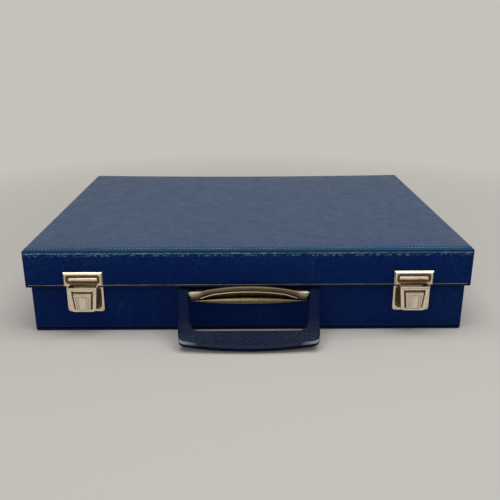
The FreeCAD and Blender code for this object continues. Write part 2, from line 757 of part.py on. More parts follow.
def bracket():
    """Nickelled pressing: a plate, a hood under a brow with a pivot socket at each end, and a spindle."""
    body = new_body("handle_bracket")
    tip = f"({BRACKET_HALF} - 2 * bracket_gap)"
    spindle = sketch_on(body, "spindle", "YZ_Plane")
    polygon(spindle, "-spindle_reach", "-spindle_drop", "spindle_radius", BAR_FACETS)
    pad(body, spindle, f"2 * {tip}", both=True)
    for plane, middle in (("XZ_Plane", "-spindle_drop"), ("XY_Plane", "-spindle_reach")):
        points = sketch_on(body, f"points_{plane[:2]}", plane)
        for end in SIDES.values():
            for edge in SIDES.values():
                outline(points, [(f"{end} * spindle_straight / 2", f"{middle} + {edge} * spindle_radius"),
                                 (f"{end} * {tip}", f"{middle} + {edge} * spindle_tip_radius"),
                                 (f"{end} * {tip}", f"{middle} + {edge} * 2 * spindle_radius")])
        pocket(body, points, both=True)
    rings = []
    for number, (x, rise, radius) in enumerate(brow_stations()):
        section = sketch_on(body, f"brow_{number}", "YZ_Plane", x)
        polygon(section, "-handle_reach", rise, radius, BAR_FACETS)
        rings.append(section)
    loft(body, "brow", rings)
    plate = sketch_on(body, "plate", "XZ_Plane")
    block(plate, "0", "((bracket_plate_rise - bracket_plate_drop) / 2)", "bracket_plate_length",
          "(bracket_plate_rise + bracket_plate_drop)")
    pad(body, plate, "bracket_sheet")
    hood = sketch_on(body, "hood", "XZ_Plane")
    upper = [(x, f"({rise} - hood_drop + bracket_sheet / 2)") for x, rise, _ in brow_stations()]
    lower = [(x, f"({rise} - hood_drop - bracket_sheet / 2)") for x, rise, _ in brow_stations()]
    outline(hood, lower + upper[::-1])
    pad(body, hood, "handle_reach")
    for sign in SIDES.values():
        socket = sketch_on(body, f"socket_{sign + 2}", "YZ_Plane", f"{sign} * {BRACKET_HALF}")
        polygon(socket, "-handle_reach", "0", "(pivot_radius + pivot_clearance)", ROUND)
        pocket(body, socket, "pivot_depth", reverse=sign < 0)
        prong(body, f"{sign} * bracket_prong_spacing / 2", "-bracket_prong_drop", "-bracket_sheet / 2",
              f"({SHELL} + backing_thickness)")
    place(body, "0", FRONT, PIVOT_Z)


def backing_strip():
    """Steel strip inside the front wall that the bracket's prongs are bent over."""
    body = new_body("handle_backing_strip")
    face = sketch_on(body, "strip", "XZ_Plane")
    block(face, "0", "-bracket_prong_drop", "(bracket_prong_spacing + 2 * backing_margin)", "backing_height")
    for x, z in pair("0", "bracket_prong_spacing", "-bracket_prong_drop"):
        block(face, x, z, "(prong_width + 2 * prong_clearance)", "(prong_thickness + 2 * prong_clearance)")
    pad(body, face, "backing_thickness", reverse=True)
    place(body, "0", f"{FRONT} + {SHELL}", PIVOT_Z)


def handle():
    """Moulded loop that swings on its two pins, drawn hanging straight down and then leant forward."""
    body = new_body("handle_loop")
    face = sketch_on(body, "face", "XZ_Plane", "-handle_thickness / 2")
    outer, foot = "(handle_width / 2)", "(handle_foot_width / 2)"
    inner, inner_foot = "(handle_width / 2 - arm_width)", "(opening_foot_width / 2)"
    low = "(-handle_length + handle_bow)"
    bow = f"(({foot} ^ 2 + handle_bow ^ 2) / 2 / handle_bow)"
    points = [(f"-{outer}", "0"), (f"-{foot}", low), ("0", "-handle_length"), (foot, low), (outer, "0"),
              (inner, "0"), (inner_foot, "-opening_length"), (f"-{inner_foot}", "-opening_length"),
              (f"-{inner}", "0")]
    outline(face, points, {1: (bow, 1), 2: (bow, 1)})
    pad(body, face, "handle_thickness")

    def corner(edge, x, z):
        box = edge.BoundBox
        across = box.YLength > box.XLength + box.ZLength
        return across and abs(abs(box.XMin) - value(x)) < 1e-3 and abs(box.ZMin - value(z)) < 1e-3

    def rim(edge):
        on_face = any(lies_at(edge, "Y", f"{sign} * handle_thickness / 2") for sign in SIDES.values())
        return on_face and not lies_at(edge, "Z", "0")

    fillet(body, "opening_corner", lambda edge: corner(edge, inner_foot, "-opening_length"))
    fillet(body, "handle_corner", lambda edge: corner(edge, foot, low))
    dress(body, "Chamfer", "Size", "handle_bevel", rim)
    for sign in SIDES.values():
        knuckle = sketch_on(body, f"knuckle_{sign + 2}", "YZ_Plane", f"{sign} * {inner}")
        polygon(knuckle, "0", "0", "handle_thickness / 2", ROUND)
        pad(body, knuckle, "arm_width", reverse=sign < 0)
    for sign in SIDES.values():
        seat = sketch_on(body, f"seat_{sign + 2}", "YZ_Plane", f"{sign} * {BRACKET_HALF}")
        polygon(seat, "0", "0", "pivot_radius", ROUND)
        pocket(body, seat, "pivot_seat + bracket_gap", reverse=sign > 0)
    lean(body)


def lean(item):
    """Set on the pivot axis and turn forward from hanging to the resting angle."""
    turn = FreeCAD.Rotation(FreeCAD.Vector(1, 0, 0), value("handle_lean - 90"))
    item.Placement = FreeCAD.Placement(FreeCAD.Vector(), turn)
    place(item, "0", PIVOT_Y, PIVOT_Z)
    bind(item, "Placement.Rotation.Angle", "(handle_lean - 90) * 1 deg")


def rods(label, spots):
    """Round rods along X in one node, each given by its left end, its radius and its length."""
    pieces = []
    for number, (left, radius, length) in enumerate(spots, start=1):
        rod = doc.addObject("Part::Cylinder", f"{label}_{number}")
        bind(rod, "Radius", radius)
        bind(rod, "Height", length)
        rod.Placement = FreeCAD.Placement(FreeCAD.Vector(), FreeCAD.Rotation(FreeCAD.Vector(0, 1, 0), 90))
        place(rod, *left)
        pieces.append(rod)
    compound = doc.addObject("Part::Compound", label)
    compound.Label = label
    compound.Links = pieces
    finished.append(compound)


def pivot_pins():
    """Steel pins fixed in the handle's arms, turning in the bracket's sockets."""
    length = "(pivot_seat + pivot_depth)"
    end = "(handle_width / 2 - arm_width + pivot_seat)"
    rods("handle_pivot_pins", [((left, PIVOT_Y, PIVOT_Z), "pivot_radius", length)
                               for left in (f"-{end}", f"{end} - {length}")])


# Hinges

def leaf(label, sign, spans):
    """One leaf of a butt hinge: a plate with knuckles on the back face, above the axis for 1 or below it
    for -1. The same leaf serves the left and the right hinge."""
    body = new_body(f"{label}_master", export=False)
    near = f"({sign} * (knuckle_radius + knuckle_gap))"
    far = f"({sign} * leaf_height)"
    plate = sketch_on(body, "plate", "XZ_Plane")
    low, high = (near, far) if sign > 0 else (far, near)
    rectangle(plate, "-hinge_length / 2", "hinge_length / 2", low, high)
    pad(body, plate, "leaf_thickness", reverse=True)
    for number, (start, length) in enumerate(spans):
        web = sketch_on(body, f"web_{number}", "YZ_Plane", start)
        rectangle(web, "0", "leaf_thickness", *(("0", near) if sign > 0 else (near, "0")))
        pad(body, web, length)
        knuckle = sketch_on(body, f"knuckle_{number}", "YZ_Plane", start)
        polygon(knuckle, "knuckle_radius", "0", "(knuckle_radius - knuckle_clearance)", ROUND)
        pad(body, knuckle, length)
    bore = sketch_on(body, "bore", "YZ_Plane", "-hinge_length")
    polygon(bore, "knuckle_radius", "0", "(hinge_pin_radius + hinge_pin_clearance)", ROUND)
    pocket(body, bore, reverse=True)
    holes = sketch_on(body, "rivet_holes", "XZ_Plane")
    for spot_x, spot_z in pair("0", "leaf_rivet_spacing", f"({sign} * {LEAF_RIVET_RISE})"):
        polygon(holes, spot_x, spot_z, "(rivet_radius + rivet_clearance)", SMALL_ROUND)
    pocket(body, holes)
    group(label, body, [(x, BACK, AXIS_Z) for x in HINGE_X])


def hinges():
    outer = [("-hinge_length / 2", "knuckle_length"), ("hinge_length / 2 - knuckle_length", "knuckle_length")]
    middle = "(hinge_length - 2 * knuckle_length - 2 * knuckle_gap)"
    leaf("hinge_base_leaves", -1, outer)
    leaf("hinge_lid_leaves", 1, [(f"-{middle} / 2", middle)])
    rods("hinge_pins", [((f"{x} - hinge_length / 2", AXIS_Y, AXIS_Z), "hinge_pin_radius", "hinge_length")
                        for x in HINGE_X])
    master = rivet("hinge_rivet", f"(leaf_thickness + {SHELL})")
    outside = f"{BACK} + leaf_thickness"
    group("hinge_base_rivets", master, [(x, outside, z) for x, z in leaf_rivets(-1)], turn=180)
    group("hinge_lid_rivets", master, [(x, outside, z) for x, z in leaf_rivets(1)], turn=180)


# Lid stays

def sector(sketch, inner, outer, top, bottom):
    """Part of a ring about the hinge axis, between two angles measured down from level towards the front."""
    def spot(radius, angle):
        return (f"{AXIS_Y} - ({radius}) * cos(({angle}) * 1 deg)",
                f"{AXIS_Z} - ({radius}) * sin(({angle}) * 1 deg)")

    outline(sketch, [spot(outer, top), spot(outer, bottom), spot(inner, bottom), spot(inner, top)],
            {0: (outer, 1), 2: (inner, -1)})


def stay(side, sign):
    """Curved bar on the lid that slides through a guide in the base and holds the lid upright by its stop."""
    body = new_body(f"lid_stay_{side}")
    start = STAY_INNER_X if sign > 0 else f"-{STAY_OUTER_X}"
    inner, outer = "(stay_radius - stay_width / 2)", "(stay_radius + stay_width / 2)"
    bar = sketch_on(body, "bar", "YZ_Plane", start)
    sector(bar, inner, outer, "-stay_top_angle", "stay_bottom_angle")
    pad(body, bar, "stay_thickness")
    stop = sketch_on(body, "stop", "YZ_Plane", start)
    sector(stop, f"({inner} - stay_stop_margin)", f"({outer} + stay_stop_margin)",
           "stay_bottom_angle - stay_stop_angle", "stay_bottom_angle")
    pad(body, stop, "stay_thickness")
    foot = sketch_on(body, "foot", "YZ_Plane", f"{sign} * {STAY_INNER_X}")
    block(foot, f"({AXIS_Y} - stay_radius * cos(stay_foot_angle * 1 deg))",
          f"({AXIS_Z} + stay_radius * sin(stay_foot_angle * 1 deg))", "stay_foot_size", "stay_foot_size")
    pad(body, foot, f"{LID_INSIDE_X} - {STAY_INNER_X}", reverse=sign < 0)


def guide(side, sign):
    """Slotted bridge on the base's side wall that the stay slides through."""
    body = new_body(f"stay_guide_{side}")
    plan = sketch_on(body, "plan", "XY_Plane", GUIDE_Z)
    near = f"({STAY_INNER_X} - guide_clearance - guide_wall)"
    x = [f"({sign} * {INSIDE_X})", f"({sign} * {near})"]
    rectangle(plan, x[sign > 0], x[sign < 0], f"{GUIDE_Y} - guide_length / 2",
              f"{GUIDE_Y} + guide_length / 2")
    pad(body, plan, "guide_height")
    slot = sketch_on(body, "slot", "XY_Plane", GUIDE_Z)
    block(slot, f"({sign} * ({STAY_INNER_X} + stay_thickness / 2))", GUIDE_Y,
          "(stay_thickness + 2 * guide_clearance)", "(stay_width + 2 * guide_play)")
    pocket(body, slot, reverse=True)


# Peg boards and the tray

def peg_grid(body, x, y, z):
    """A square grid of peg holes from the corner hole given."""
    hole = sketch_on(body, "hole", "XY_Plane", z)
    polygon(hole, x, y, "hole_radius", HOLE_ROUND)
    first = pocket(body, hole, reverse=True)
    grid = body.newObject("PartDesign::MultiTransform", f"{body.Name}_grid")
    rows = []
    for name, axis in (("columns", "H_Axis"), ("rows", "V_Axis")):
        row = body.newObject("PartDesign::LinearPattern", f"{body.Name}_{name}")
        row.Direction = (hole, [axis])
        row.Occurrences = GRID
        bind(row, "Length", GRID_SPAN)
        rows.append(row)
    grid.Originals = [first]
    grid.Transformations = rows
    body.Tip = grid
    refresh(*rows, grid)


def ocean_board():
    body = new_body("ocean_board")
    plan = sketch_on(body, "plan", "XY_Plane", "ocean_level")
    rectangle(plan, OCEAN_LEFT, f"{OCEAN_LEFT} + ocean_width", OCEAN_FRONT, OCEAN_BACK)
    pad(body, plan, "board_thickness")
    peg_grid(body, GRID_X, GRID_Y, "ocean_level")


def target_board():
    """Upright board in the lid, notched where the stays pass it."""
    body = new_body("target_board")
    plan = sketch_on(body, "plan", "XY_Plane", TARGET_Z)
    block(plan, "0", LID_MIDDLE, f"(case_width - 2 * {SHELL} - 2 * insert_gap)",
          f"(case_depth - 2 * {SHELL} - 2 * insert_gap)")
    pad(body, plan, "board_thickness")
    notches = sketch_on(body, "notches", "XY_Plane", TARGET_Z)
    for sign in SIDES.values():
        block(notches, f"({sign} * {LID_INSIDE_X})", GUIDE_Y, "(2 * target_notch_depth)",
              "target_notch_length")
    pocket(body, notches, reverse=True)
    peg_grid(body, f"(-{GRID_SPAN} / 2)", GRID_Y, TARGET_Z)


def boxes(label, spots):
    """Plain wooden pieces in one node, each given by its low corner and its size along each axis."""
    pieces = []
    for number, (corner, size) in enumerate(spots, start=1):
        piece = doc.addObject("Part::Box", f"{label}_{number}")
        for name, text in zip(("Length", "Width", "Height"), size):
            bind(piece, name, text)
        place(piece, *corner)
        pieces.append(piece)
    if len(pieces) == 1:
        pieces[0].Label = label
        finished.append(pieces[0])
        return
    compound = doc.addObject("Part::Compound", label)
    compound.Label = label
    compound.Links = pieces
    finished.append(compound)


def tray():
    """Cleats under the ocean board, blocks behind the target board and the dividers of the peg bays."""
    floor_height = "ocean_level - panel_thickness"
    boxes("ocean_board_cleats", [
        ((OCEAN_LEFT, y, "panel_thickness"), ("ocean_width", "cleat_width", floor_height))
        for y in (OCEAN_FRONT, f"{OCEAN_BACK} - cleat_width")])
    divider_height = f"({LIP_TOP} - divider_drop - panel_thickness)"
    boxes("bay_divider_long", [((DIVIDER_X, f"-{INSIDE_Y}", "panel_thickness"),
                                ("divider_thickness", f"2 * {INSIDE_Y}", divider_height))])
    boxes("bay_divider_cross", [((BAY_LEFT, BAY_SPLIT, "panel_thickness"),
                                 (f"{INSIDE_X} - {BAY_LEFT}", "divider_thickness", divider_height))])
    block_z = f"{TARGET_Z} + board_thickness"
    boxes("target_board_blocks", [
        ((x, y, block_z), ("block_size", "cleat_width", f"{LID_WALL_TOP} - {TARGET_Z} - board_thickness"))
        for x in (f"-{LID_INSIDE_X}", f"{LID_INSIDE_X} - block_size")
        for y in (f"{LID_FRONT} + {SHELL}", f"{BACK} - {SHELL} - cleat_width")])


# Ships and pegs

def ship(name, cells, column, row):
    """Hull with a pointed bow, deckhouses between its peg sockets, and two stems for the board's holes."""
    body = new_body(f"ship_{name}")
    last = f"({cells - 1} * hole_pitch)"
    half = "(ship_beam / 2)"
    stern, bow = "(-ship_overhang)", f"({last} + ship_overhang)"
    hull = sketch_on(body, "hull", "XY_Plane")
    outline(hull, [(stern, f"-{half}"), (f"{bow} - bow_length", f"-{half}"), (bow, "0"),
                   (f"{bow} - bow_length", half), (stern, half)])
    pad(body, hull, "hull_height")
    houses = sketch_on(body, "houses", "XY_Plane", "hull_height")
    for gap in range(cells - 1):
        block(houses, f"({gap + 0.5} * hole_pitch)", "0", "house_length", "house_width")
    pad(body, houses, "house_height")
    tower = sketch_on(body, "tower", "XY_Plane", "hull_height + house_height")
    block(tower, f"({(cells - 1) // 2 + 0.5} * hole_pitch)", "0", "tower_width", "tower_width")
    pad(body, tower, "tower_height")
    sockets = sketch_on(body, "sockets", "XY_Plane", "hull_height")
    for cell in range(cells):
        polygon(sockets, f"({cell} * hole_pitch)", "0", "hole_radius", SMALL_ROUND)
    pocket(body, sockets, "socket_depth")
    stems = sketch_on(body, "stems", "XY_Plane")
    for spot in ("0", last):
        polygon(stems, spot, "0", "stem_radius", SMALL_ROUND)
    pad(body, stems, "stem_length", reverse=True)
    place(body, f"{GRID_X} + {column - 1} * hole_pitch", f"{GRID_Y} + {row} * hole_pitch", OCEAN_TOP)


def pegs(label, counts, left, front):
    """Marker pegs standing on their heads in rows on the floor of a bay."""
    body = new_body(f"{label}_master", export=False)
    head = sketch_on(body, "head", "XY_Plane")
    polygon(head, "0", "0", "peg_head_radius", SMALL_ROUND)
    pad(body, head, "peg_head_height")
    shank = sketch_on(body, "shank", "XY_Plane", "peg_head_height")
    polygon(shank, "0", "0", "peg_radius", SMALL_ROUND)
    pad(body, shank, "peg_length")
    columns, rows = counts
    group(label, body, [
        (f"{left} + peg_margin + {i} * peg_spacing", f"{front} + peg_margin + {j} * peg_spacing",
         "panel_thickness") for i in range(columns) for j in range(rows)])


def build():
    bottom_panel()
    base_walls()
    top_panel()
    lid_walls()
    front_band()
    for side in SIDES:
        keeper(side)
        back_plate(side)
        housing(side)
        button(side)
        catch(side)
        spring(side)
    master = rivet("latch_rivet", f"(latch_sheet + {SHELL})")
    group("latch_rivets", master, [(x, f"{FRONT} - latch_sheet", z) for x, z in flange_rivets])
    bracket()
    backing_strip()
    handle()
    pivot_pins()
    hinges()
    for side, sign in SIDES.items():
        stay(side, sign)
        guide(side, sign)
    ocean_board()
    target_board()
    tray()
    for name, (cells, column, row) in SHIPS.items():
        ship(name, cells, column, row)
    pegs("white_pegs", WHITE_PEGS, BAY_LEFT, f"({BAY_SPLIT} + divider_thickness)")
    pegs("red_pegs", RED_PEGS, BAY_LEFT, f"(-{INSIDE_Y})")


def export():
    doc.recompute()
    for item in doc.Objects:
        if {"Invalid", "Error"} & set(item.State):
            raise ValueError(f"{item.Name} is {item.State}")
    os.makedirs("parts", exist_ok=True)
    for item in finished:
        if item.Shape.isNull() or not item.Shape.isValid():
            raise ValueError(f"{item.Label} has no valid shape")
        item.Shape.exportStep(f"parts/{item.Label}.step")


build()
export()
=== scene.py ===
"""Looks of the fleet guessing case: covered case, latches, handle, hinges, peg boards, ships and pegs."""

import math
from functools import partialmethod

import bmesh
import bpy
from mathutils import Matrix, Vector


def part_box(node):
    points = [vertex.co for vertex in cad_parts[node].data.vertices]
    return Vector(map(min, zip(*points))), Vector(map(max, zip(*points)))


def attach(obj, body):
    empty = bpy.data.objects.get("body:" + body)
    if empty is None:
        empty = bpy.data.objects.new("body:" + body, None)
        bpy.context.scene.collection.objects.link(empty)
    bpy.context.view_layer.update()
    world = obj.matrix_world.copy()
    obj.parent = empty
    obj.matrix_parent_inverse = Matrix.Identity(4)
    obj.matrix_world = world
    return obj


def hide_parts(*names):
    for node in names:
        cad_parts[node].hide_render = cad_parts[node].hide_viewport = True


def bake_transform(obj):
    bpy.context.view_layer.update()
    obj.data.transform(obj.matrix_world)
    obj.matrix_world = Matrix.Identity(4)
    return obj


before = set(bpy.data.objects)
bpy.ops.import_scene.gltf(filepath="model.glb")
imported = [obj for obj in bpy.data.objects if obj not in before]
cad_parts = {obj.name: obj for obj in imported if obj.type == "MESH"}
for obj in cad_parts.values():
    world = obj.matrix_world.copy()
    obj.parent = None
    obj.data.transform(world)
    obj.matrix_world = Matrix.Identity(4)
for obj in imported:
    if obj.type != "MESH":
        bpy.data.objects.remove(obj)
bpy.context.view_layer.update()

bl_info = {
    "name": "Fleet guessing case",
    "version": (1, 0, 0),
    "blender": (4, 5, 0),
    "location": "View3D > Sidebar > Fleet case",
    "description": "Models the covered case, its fittings and the game inside it round the packed frame",
    "category": "Object",
}

MM = 0.001
X, Y, Z = 0, 1, 2
SIDES = ("left", "right")
SIGNS = (-1, 1)
LID_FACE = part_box("lid_wall_cover")[0][Y]
BASE_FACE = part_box("base_wall_cover")[0][Y]
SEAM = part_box("lid_wall_frame")[0][Z]
WALL = 3.2 * MM


def mm(*values):
    return [value * MM for value in values]


# Properties

def colour(name, description, default):
    return bpy.props.FloatVectorProperty(
        name=name, description=description, default=default, size=3, min=0.0, max=1.0, subtype="COLOR")


def distance(name, description, default):
    return bpy.props.FloatProperty(
        name=name, description=description, default=default, min=0.0, unit="LENGTH", subtype="DISTANCE")


def factor(name, description, default):
    return bpy.props.FloatProperty(
        name=name, description=description, default=default, min=0.0, max=1.0, subtype="FACTOR")


class ClothLook(bpy.types.PropertyGroup):
    """Grained cloth over the case boards."""
    navy: colour("Navy", "Colour of the grained cloth", (0.0003, 0.0098, 0.080))
    rubbed: colour("Rubbed", "Colour of the cloth where it is rubbed", (0.008, 0.034, 0.11))
    # Partly the band's own smoother finish and partly a painted sheen: the band is painted lighter than the navy of the
    # walls.
    band: colour("Band", "Colour of the smooth band over the lid's front edge", (0.012, 0.060, 0.128))
    # Painted highlight, with some real wear: pale flecks of this colour below the lid's front fold and low on its band
    # stand for the glints along that edge.
    arris: colour("Arris", "Colour of the cloth where its front fold is worn", (0.26, 0.37, 0.47))
    cord: colour("Edge cord", "Colour of the bound lower edge of the lid", (0.018, 0.021, 0.026))
    thread: colour("Thread", "Colour of the stitches", (0.42, 0.46, 0.48))
    # Partly dust and partly a painted sheen: the cloth pales to this colour wherever it faces up.
    dust_and_sheen: colour("Dust", "Colour of the cloth where fine dust lies on it", (0.060, 0.097, 0.160))
    marks: colour("Marks", "Colour of the fine marks in the dust", (0.12, 0.165, 0.23))
    # Painted shade: the cloth darkens to this in its corners, as deep as their ambient occlusion, and in a thin line
    # just below the seam at the foot of the walls.
    shade_in_corners: colour("Dirt", "Colour of the cloth in its corners", (0.0, 0.001, 0.005))
    haze: factor("Haze", "How much the cloth pales where it is seen at a low angle", 0.08)
    grain: distance("Grain", "Width of one pebble of the grain", 1.1 * MM)
    corner: distance("Corner", "Radius of the upright corners", 2.4 * MM)
    edge: distance("Edge", "Radius of the edges of the top and bottom", 2.2 * MM)
    skin: distance("Skin", "Thickness of the cloth with its glue", 0.8 * MM)
    tuck: distance("Tuck", "How far the band's rear edge lies under the cloth of the top", 3.2 * MM)
    sag: distance("Sag", "How far the back of the lid has sunk in the middle", 1.8 * MM)


class MetalLook(bpy.types.PropertyGroup):
    """Nickelled fittings and plain steel."""
    nickel: colour("Nickel", "Colour of the worn plating", (0.90, 0.79, 0.64))
    # Real tarnish, and painted shade where the plating darkens to it on its flanks and on what lies behind its front.
    tarnish_and_shade: colour("Tarnish", "Colour of the tarnish in the plating", (0.16, 0.10, 0.05))
    brass: colour("Brass", "Colour of the plating worn to the brass", (0.30, 0.24, 0.14))
    antique: colour("Antique", "Colour of the browned plating of the bracket", (0.088, 0.063, 0.045))
    steel: colour("Steel", "Colour of the plain steel", (0.46, 0.46, 0.45))


class HandleLook(bpy.types.PropertyGroup):
    """Moulded carrying handle."""
    moulding: colour("Moulding", "Colour of the moulded handle", (0.002, 0.0075, 0.032))
    # Painted highlight: the handle's lower rim takes this pale colour in a band chosen by which way it faces, brightest
    # at its corners.
    rubbed: colour("Rubbed moulding", "Colour of the rim where hands have rubbed it", (0.30, 0.33, 0.38))
    # Painted glints: the handle's grain is flecked with this colour where it faces up, most on the bar towards its
    # ends.
    grain_glints: colour("Specks", "Colour of the high spots of its grain", (0.058, 0.066, 0.090))
    rim: distance("Rim", "Radius of the rim round its faces", 1.3 * MM)
    belly: distance("Belly", "Radius of the front lower edge of the bar", 3.0 * MM)


class GameLook(bpy.types.PropertyGroup):
    """Peg boards, ships, pegs and the boards and battens round them."""
    board: colour("Board", "Colour of the moulded peg boards", (0.018, 0.085, 0.25))
    lettering: colour("Lettering", "Colour of the printed coordinates", (0.72, 0.73, 0.71))
    ship: colour("Ships", "Colour of the moulded ships", (0.24, 0.26, 0.28))
    white: colour("White pegs", "Colour of the pegs that mark a miss", (0.76, 0.75, 0.70))
    red: colour("Red pegs", "Colour of the pegs that mark a hit", (0.50, 0.016, 0.014))
    wood: colour("Wood", "Colour of the dividers and battens", (0.46, 0.29, 0.15))
    greyboard: colour("Case board", "Colour of the boards under the cloth", (0.34, 0.30, 0.23))


class StageLook(bpy.types.PropertyGroup):
    """Floor, light and camera."""
    floor: colour("Floor", "Colour of the floor and backdrop", (0.565, 0.54, 0.50))
    lens: bpy.props.FloatProperty(
        name="Lens", description="Focal length on a 36 mm sensor", default=45.02, min=1.0, unit="CAMERA")


# Modelling: selection, primitives and edits

def clear_selection():
    if bpy.context.mode != "OBJECT":
        bpy.ops.object.mode_set(mode="OBJECT")
    bpy.ops.object.select_all(action="DESELECT")


def take(obj):
    clear_selection()
    obj.select_set(True)
    bpy.context.view_layer.objects.active = obj


def edit(obj, kind, test=None):
    """Enter edit mode with the VERT, EDGE or FACE items that the test accepts selected, or with all of them."""
    take(obj)
    bpy.ops.object.mode_set(mode="EDIT")
    bpy.ops.mesh.select_mode(type=kind)
    bpy.ops.mesh.select_all(action="DESELECT" if test else "SELECT")
    if not test:
        return
    mesh = bmesh.from_edit_mesh(obj.data)
    mesh.normal_update()
    items = {"VERT": mesh.verts, "EDGE": mesh.edges, "FACE": mesh.faces}[kind]
    found = [item for item in items if test(item)]
    if not found:
        raise RuntimeError(f"{obj.name}: nothing to select")
    for item in found:
        item.select_set(True)
    mesh.select_flush_mode()
    bmesh.update_edit_mesh(obj.data)


def leave():
    bpy.ops.object.mode_set(mode="OBJECT")


def middle(item):
    return sum((vert.co for vert in item.verts), Vector()) / len(item.verts)


def near(a, b, reach=0.02 * MM):
    return abs(a - b) < reach


def held(number, low=0, high=1):
    return min(max(number, low), high)


def runs_along(edge, axis):
    run = edge.verts[1].co - edge.verts[0].co
    return abs(run[axis]) > 0.99 * run.length


def sharp(edge, least=1):
    """Whether an edge turns by more than an angle in radians."""
    return edge.is_manifold and edge.calc_face_angle() > least


def along(axis, places=None):
    """Test for the edges that run along an axis and lie at the given places on the other axes."""
    return lambda edge: runs_along(edge, axis) and all(
        near(middle(edge)[other], place) for other, place in (places or {}).items())


def across(axis):
    return lambda edge: not runs_along(edge, axis)


def level(axis, place):
    """Test for the edges that lie at one place on an axis."""
    return lambda edge: all(near(vert.co[axis], place) for vert in edge.verts)


def sharp_at(axis, place):
    return lambda edge: level(axis, place)(edge) and sharp(edge)


def looks_forward(face):
    return face.normal[Y] < -0.99


def named(obj, name):
    obj.name = obj.data.name = name
    return obj


def settle(name):
    """Name the new primitive and put its place, turn and size into its mesh."""
    bpy.ops.object.transform_apply(location=True, rotation=True, scale=True)
    return named(bpy.context.object, name)


def add_box(name, low, high):
    low, high = Vector(low), Vector(high)
    clear_selection()
    bpy.ops.mesh.primitive_cube_add(size=1, location=(low + high) / 2, scale=high - low)
    return settle(name)


def add_rod(name, place, radius, length, axis=X, sides=24):
    turn = {X: (0, math.pi / 2, 0), Y: (math.pi / 2, 0, 0), Z: (0, 0, 0)}[axis]
    clear_selection()
    bpy.ops.mesh.primitive_cylinder_add(vertices=sides, radius=radius, depth=length, location=place, rotation=turn)
    return settle(name)


def bevel(obj, test, width, steps=3):
    edit(obj, "EDGE", test)
    bpy.ops.mesh.bevel(offset=width, segments=steps, profile=0.5, affect="EDGES", clamp_overlap=True)
    leave()


def bar(low, high, round_off):
    """A straight bar with all its edges rounded."""
    piece = add_box("bar", low, high)
    bevel(piece, lambda edge: True, round_off, 2)
    return piece


def drop_faces(obj, test):
    edit(obj, "FACE", test)
    bpy.ops.mesh.delete(type="FACE")
    leave()


def inset(obj, test, *steps):
    """Inset the faces again and again, each time by a width and a depth."""
    edit(obj, "FACE", test)
    for width, depth in steps:
        bpy.ops.mesh.inset(thickness=width, depth=depth)
    leave()


def extrude(step):
    bpy.ops.mesh.extrude_region_move(TRANSFORM_OT_translate={"value": step})


def slice_at(obj, axis, places):
    """Cut the mesh across an axis at each place, keeping both sides."""
    normal = [float(way == axis) for way in (X, Y, Z)]
    for place in places:
        edit(obj, "FACE")
        bpy.ops.mesh.bisect(plane_co=[place * part for part in normal], plane_no=normal, use_fill=False)
        leave()


def scaled(spot, core, shares):
    """A spot moved to a share of its distance from the core along each axis."""
    return Vector([start + (place - start) * share for place, start, share in zip(spot, core, shares)])


def move(obj, rule):
    """Shift each vertex to where the rule puts it."""
    for vert in obj.data.vertices:
        vert.co = rule(vert.co.copy())
    obj.data.update()


def modify(obj, kind, **settings):
    take(obj)
    modifier = obj.modifiers.new(kind, kind)
    for name, setting in settings.items():
        setattr(modifier, name, setting)
    bpy.ops.object.modifier_apply(modifier=modifier.name)


def thicken(obj, thickness):
    modify(obj, "SOLIDIFY", thickness=thickness, offset=-1)


def repeat(obj, count, step, **settings):
    modify(obj, "ARRAY", count=count, use_relative_offset=False, use_constant_offset=True,
           constant_offset_displace=step, **settings)


def cut_away(obj, cutter):
    modify(obj, "BOOLEAN", operation="DIFFERENCE", object=cutter, solver="EXACT")
    bpy.data.objects.remove(cutter)


def join(obj, *others):
    take(obj)
    for other in others:
        other.select_set(True)
    bpy.ops.object.join()
    return obj


def outward(obj):
    edit(obj, "FACE")
    bpy.ops.mesh.remove_doubles(threshold=1e-6)
    bpy.ops.mesh.normals_make_consistent(inside=False)
    leave()


def finish_piece(obj, body, material, nodes=(), angle=35):
    """Shade the piece, give it its material and set it on its body, if it keeps to one, in place of its nodes."""
    take(obj)
    bpy.ops.object.transform_apply(location=True, rotation=True, scale=True)
    bpy.ops.object.shade_smooth_by_angle(angle=math.radians(angle))
    obj.data.materials.clear()
    obj.data.materials.append(material)
    if body:
        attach(obj, body)
    if nodes:
        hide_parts(*nodes)


def dress_nodes(material, *names):
    """Give the CAD nodes that stay in sight their finished material."""
    for name in names:
        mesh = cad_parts[name].data
        mesh.materials.clear()
        mesh.materials.append(material)


def centre(node):
    low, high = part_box(node)
    return (low + high) / 2


# Materials

